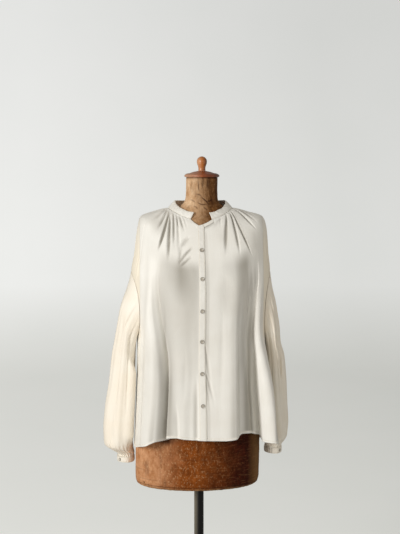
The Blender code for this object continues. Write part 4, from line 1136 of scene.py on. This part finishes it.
def shell_button(name, centre, normal, radius, thick):
    """Disc with a rounded rim, a shallow dish and four sewing holes: a profile carried round
    its own axis, the holes pushed in as small wells near the middle."""
    out, side, up = button_axes(normal)
    r, h = np.hsplit(np.array(BUTTON_OUTLINE), 2)
    a = np.radians(np.arange(0, 360, 6.0))[None, :]
    across, along = r * radius * np.cos(a), r * radius * np.sin(a)
    hole = 0.23 * radius
    face = np.arange(len(r))[:, None] > 9
    well = sum(bump(np.hypot(across - sx * hole, along - sz * hole) / (0.19 * radius))
               for sx in (-1, 1) for sz in (-1, 1))
    h = h * thick - np.where(face, 0.45 * thick * np.clip(well, 0, 1), 0)
    p = centre + out * h[..., None] + side * across[..., None] + up * along[..., None]
    # the rim share is the bark on the rim, and in the sewing holes painted shade
    rim = np.clip(smooth(r, 0.80, 0.97) + np.where(face, 0.8 * well, 0), 0, 1)
    return placed(surface("shell_" + name, p, SHELL, closed=True, faces_in=True, rim=rim),
                  name)


def thread_cross(name, centre, normal, radius, thick):
    """Sewing thread over a button's holes: two round strands crossed, each a circle carried
    along a low arch from hole to hole."""
    out, side, up = button_axes(normal)
    s = np.linspace(-1, 1, 15)[:, None]
    a = np.radians(np.arange(0, 360, 45.0))[None, :, None]
    arch = thick * (0.66 + 0.30 * (1 - s ** 4)) - 0.35 * thick * smooth(np.abs(s), 0.75, 1)
    for k, (way, over) in enumerate(((1, 0.25), (-1, 0.0))):
        line = unit(side + way * up)
        mid = centre + line * (s * 0.33 * radius)[..., None] + out * (arch + over)[..., None]
        strand = mid + 0.42 * (np.cos(a) * np.cross(out, line) + np.sin(a) * out)
        placed(surface("thread_%s_%d" % (name, k + 1), strand, BODY_SILK, closed=True))


fine_levels = np.linspace(0.4, HEM_LEVEL, 2000)
middle = x_columns(fine_levels, 0.0)
fall = -np.minimum.accumulate(blouse(fine_levels, middle)[:, 2])
buttons = []
for i, z in enumerate(BUTTON_Z):
    s, d = (np.array([np.interp(-z, fall, row)]) for row in (fine_levels, middle))
    here = blouse(s, d, np.array([SEAM + 1.6]))[0]
    buttons.append(("button_%d" % (i + 1), here, ring_normal(BLOUSE, s, d)[0], BUTTON_R, 2.4))
for name, (sign, mid_x, mid_y, half_x, half_y, low_z, high_z) in CUFFS.items():
    a = math.radians(-48.0)
    out = unit(np.array([sign * math.cos(a) / half_x, math.sin(a) / half_y, 0]))
    here = np.array([lean(low_z) + sign * (mid_x + half_x * math.cos(a)),
                     mid_y + half_y * math.sin(a), (low_z + high_z) / 2])
    buttons.append((name.replace("cuff", "cuff_button"), here + out * 0.9, out, 4.6, 2.2))
for button in buttons:
    shell_button(*button)
    thread_cross(*button)


# ---------------------------------------------------------------- dress form
def form_surface():
    """Neck, shoulders and hips of the form: its ovals, with creases of the covering on the
    neck, four upright seams, small dents, and a worn lower edge. The dark share darkens the listed
    marks, the creases, seams and lines, and paints shadow under the cap's rim, under the hem and in
    the small hole; worn is the share of the bare edge."""
    rows = np.concatenate([np.linspace(0, 3.0, 96), np.linspace(3.0, 5.2, 30)[1:],
                           np.linspace(5.2, 14, 44)[1:], np.linspace(14, 16, 62)[1:],
                           np.linspace(16, 18, 26)[1:]])[:, None]
    deg = np.concatenate([np.arange(-96, 96, 1.5), np.arange(96, 264, 2.0)])[None, :]
    p = ring(FORM, rows, deg)
    x, _, z = np.moveaxis(p, -1, 0)
    turn, a = wrap(deg), np.radians(deg)
    creases = np.where(np.cos(a) > 0, troughs(x, z, NECK_CREASES), 0)
    seams = sum(bump(wrap(turn - c) / 1.2) for c in (-38, 38, 142, 218)) * smooth(rows, 5.0, 5.4)
    seams = seams + 0.8 * bump(wrap(turn - 178) / 3.0) * (1 - smooth(rows, 4, 5))
    lines = sum(bump((z - h + 1.2 * np.sin(a * 5 + h)) / 1.6) for h in (668, 626, 600))
    lines = lines * (rows > 13) * (0.4 + 0.6 * smooth(np.sin(a * 3 + z / 20), -0.3, 0.6))
    rim = bump((z - 584) / 3.0) * (rows > 15)
    dents = 0.5 * ripple(turn * 2.6, z, 31, 9, 70, 12, 0.8) * smooth(rows, 0.05, 0.4)
    out = creases + dents - 0.5 * seams - 0.35 * lines - 0.6 * rim
    p = p + ring_normal(FORM, rows, deg) * out[..., None]
    front = p[..., 1] < 0
    worn = (rows > 15.6) * smooth(z, 584, 574) * (0.5 + 0.35 * ripple(turn * 3, z * 0, 33, 6, 60, 10))
    # the ring just below the neck's top is painted shadow under the cap
    marks_and_cap_shadow = patches(x, z, NECK_DARK_MARKS) * front + 0.55 * bump((z - 1471.5) / 6.5)
    dark = np.clip(-0.6 * creases + marks_and_cap_shadow + 0.22 * seams + 0.3 * lines + 0.5 * rim, 0, 0.85)
    # a small hole near the lower edge, its inside painted dark as shade
    hole = bump(np.hypot(x + 163, (z - 590) * 1.2) / 4.0) * front
    p = p - unit(p * (1, 1, 0)) * (3.0 * hole)[..., None]
    top, base = (np.array([lean(h), 0, h]) for h in (NECK_TOP, FORM_BOTTOM))
    p = np.concatenate([top + (p[:1] - top) * 0.01, p, base + (p[-1:] - base) * 0.6,
                        base + (p[-1:] - base) * 0.01])
    capped = lambda q: np.concatenate([q[:1], q, q[-1:], q[-1:]])
    # painted shadow under the hem, on the form's front towards -X
    painted_hem_shadow = 0.9 * bump((p[..., 0] + 101) / 40) * smooth(p[..., 2], 706, 720) * (p[..., 1] < 0)
    return surface("aged_form_covering", p, COVER, closed=True, worn=capped(np.clip(worn, 0, 0.7)),
                   crease=np.clip(capped(dark + hole) + painted_hem_shadow, 0, 1))


placed(form_surface(), "form_torso")

# turned pieces: name, solid, slot, material, columns, place, corner radius and steps, then the
# profile of radius and height from that place
CAP_Z = NECK_TOP + SEAM
KNOB_Z = CAP_Z + 18.2 + SEAM
for name, node_name, slot, material, columns, place, radius, steps, profile in (
        ("turned_neck_cap", "neck_cap", "turned_wood", CAP_WOOD, 120, (lean(CAP_Z), 0, CAP_Z), 1.4, 4,
         ((43, 0), (49.5, 0.6), (51, 3.4), (50.4, 6.2), (46.5, 9.4), (40, 11.6), (38.5, 10.9),
          (24, 15.9), (15, 17.4), (13.8, 18.2), (12.5, 18.2))),
        ("turned_knob", "neck_knob", "turned_wood", KNOB_WOOD, 80, (lean(CAP_Z), 0, KNOB_Z), 5, 5,
         ((10.6, 0), (10.2, 3), (10.1, 8), (11.1, 13), (14.0, 20.5), (15.0, 27), (13.6, 33.5),
          (9.2, 38.8), (3.6, 41.3), (0.8, 41.6))),
        ("enamelled_pole", "stand_pole", "black_steel", ENAMEL, 72, (0, 0, 0), 0.4, 4,
         ((POLE_R - 0.4, 40 + SEAM), (POLE_R, 41), (POLE_R, 300), (POLE_R, FORM_BOTTOM - 1),
          (POLE_R - 0.4, FORM_BOTTOM - SEAM))),
        ("enamelled_foot", "stand_foot", "black_steel", ENAMEL, 128, (0, 0, 0), 2.2, 4,
         ((FOOT_R - 2.5, 0), (FOOT_R, 1.5), (FOOT_R, FOOT_T - 3), (FOOT_R - 4, FOOT_T),
          (60, FOOT_T + 2.2), (34, FOOT_T + 3.6), (25, FOOT_T + 8), (22, FOOT_T + 16), (22, 38.5),
          (20, 40)))):
    piece = turned(name, rounded(profile, radius, steps), material, columns, place)
    placed(piece, node_name)


# ---------------------------------------------------------------- floor, light, camera
def floor_disc():
    """Round floor that rises at its far rim: height is 0 to 5 m out, then a quarter of an
    ellipse up to 6 m high, 9 m out. It glows with painted light, brighter on its rising rim
    than on the flat and darker towards +X."""
    arch = np.linspace(0, math.pi / 2, 24)[1:]
    r = np.concatenate([[0.001], np.linspace(0.5, 5.0, 10), 5 + 4 * np.sin(arch)])[:, None]
    z = np.concatenate([np.zeros(11), 6 * (1 - np.cos(arch))])[:, None]
    a = np.radians(np.arange(0, 360, 3.0))
    p = np.stack(np.broadcast_arrays(r * np.cos(a), r * np.sin(a), z), -1) / MM
    m, tree, shader, coords = new_material("pale plaster floor glowing with painted light", in_Roughness=0.9,
                                           in_Specular_IOR_Level=0.2, in_Emission_Strength=0.58)
    x, z = (node(tree, **AXES, out=axis, in_0=coords) for axis in (0, 2))
    cloudy = pattern(tree, coords, 600, 3, 0.5, 0.3, 0.7)
    low, high, across = (node(tree, **SPAN, in_0=place, in_1=start, in_2=end)
                         for place, start, end in ((z, 0.0, 0.5), (z, 0.8, 3.0), (x, -1.2, 1.6)))
    # painted light: the glow is brighter on the rising rim and darker towards +X
    glow = layered(tree, "d8dad8", (low, 1, "fcfeff"), (high, 1, "eef0f2"))
    glow = node(tree, **MIX, blend_type="MULTIPLY", in_0=across, in_6=glow, in_7=linear("e0e1e1"))
    colour = layered(tree, "d9dad8", (cloudy, 1, "d5d7d4"))
    node(tree, shader, in_Base_Color=colour, in_Emission_Color=glow)
    obj = surface("studio_floor", p, m, closed=True)
    obj.visible_diffuse = obj.visible_glossy = False


def lamp(name, place, target, size, power, colour):
    """Area light at a place, turned towards a target, both in metres."""
    data = bpy.data.lights.new(name, "AREA")
    data.shape, data.size, data.size_y = "RECTANGLE", *size
    data.energy, data.color = power, linear(colour)[:3]
    obj = bpy.data.objects.new(name, data)
    x, y, z = np.subtract(target, place)
    obj.location = place
    obj.rotation_euler = (math.pi / 2 + math.atan2(z, math.hypot(x, y)), 0, math.atan2(-x, y))
    bpy.context.scene.collection.objects.link(obj)


floor_disc()
lamp("window_light", (-3.04, -3.15, 2.0), (0, 0, 1.05), (1.0, 1.4), 119, "fffdfa")
lamp("front_fill", (1.4, -3.4, 2.0), (0, 0, 1.1), (2.0, 2.0), 11, "fffaf3")
lamp("side_fill", (3.0, -0.8, 1.3), (0, 0, 1.0), (1.0, 1.4), 5, "fff8ee")
lamp("floor_bounce", (-1.3, -2.2, 0.25), (0, 0, 0.85), (1.4, 0.8), 9, "fff6ea")

world = bpy.data.worlds.new("pale studio")
world.use_nodes = True
sky = next(n for n in world.node_tree.nodes if n.type == "BACKGROUND")
sky.inputs[0].default_value = linear("f5f1e8")
sky.inputs[1].default_value = 0.37
bpy.context.scene.world = world
bpy.context.scene.view_settings.view_transform = "Standard"

EYE_TURN, EYE_AWAY, EYE_HEIGHT = math.radians(-3.0), 3.422, 1.507
EYE_DOWN, EYE_ASIDE = math.radians(4.94), math.radians(0.0534)
lens = bpy.data.cameras.new("camera")
lens.lens, lens.sensor_width, lens.clip_end = 79.55, 36.0, 60
camera = bpy.data.objects.new("camera", lens)
camera.location = (EYE_AWAY * math.sin(EYE_TURN), -EYE_AWAY * math.cos(EYE_TURN), EYE_HEIGHT)
camera.rotation_euler = (math.pi / 2 - EYE_DOWN, 0, EYE_TURN - EYE_ASIDE)
bpy.context.scene.collection.objects.link(camera)
bpy.context.scene.camera = camera
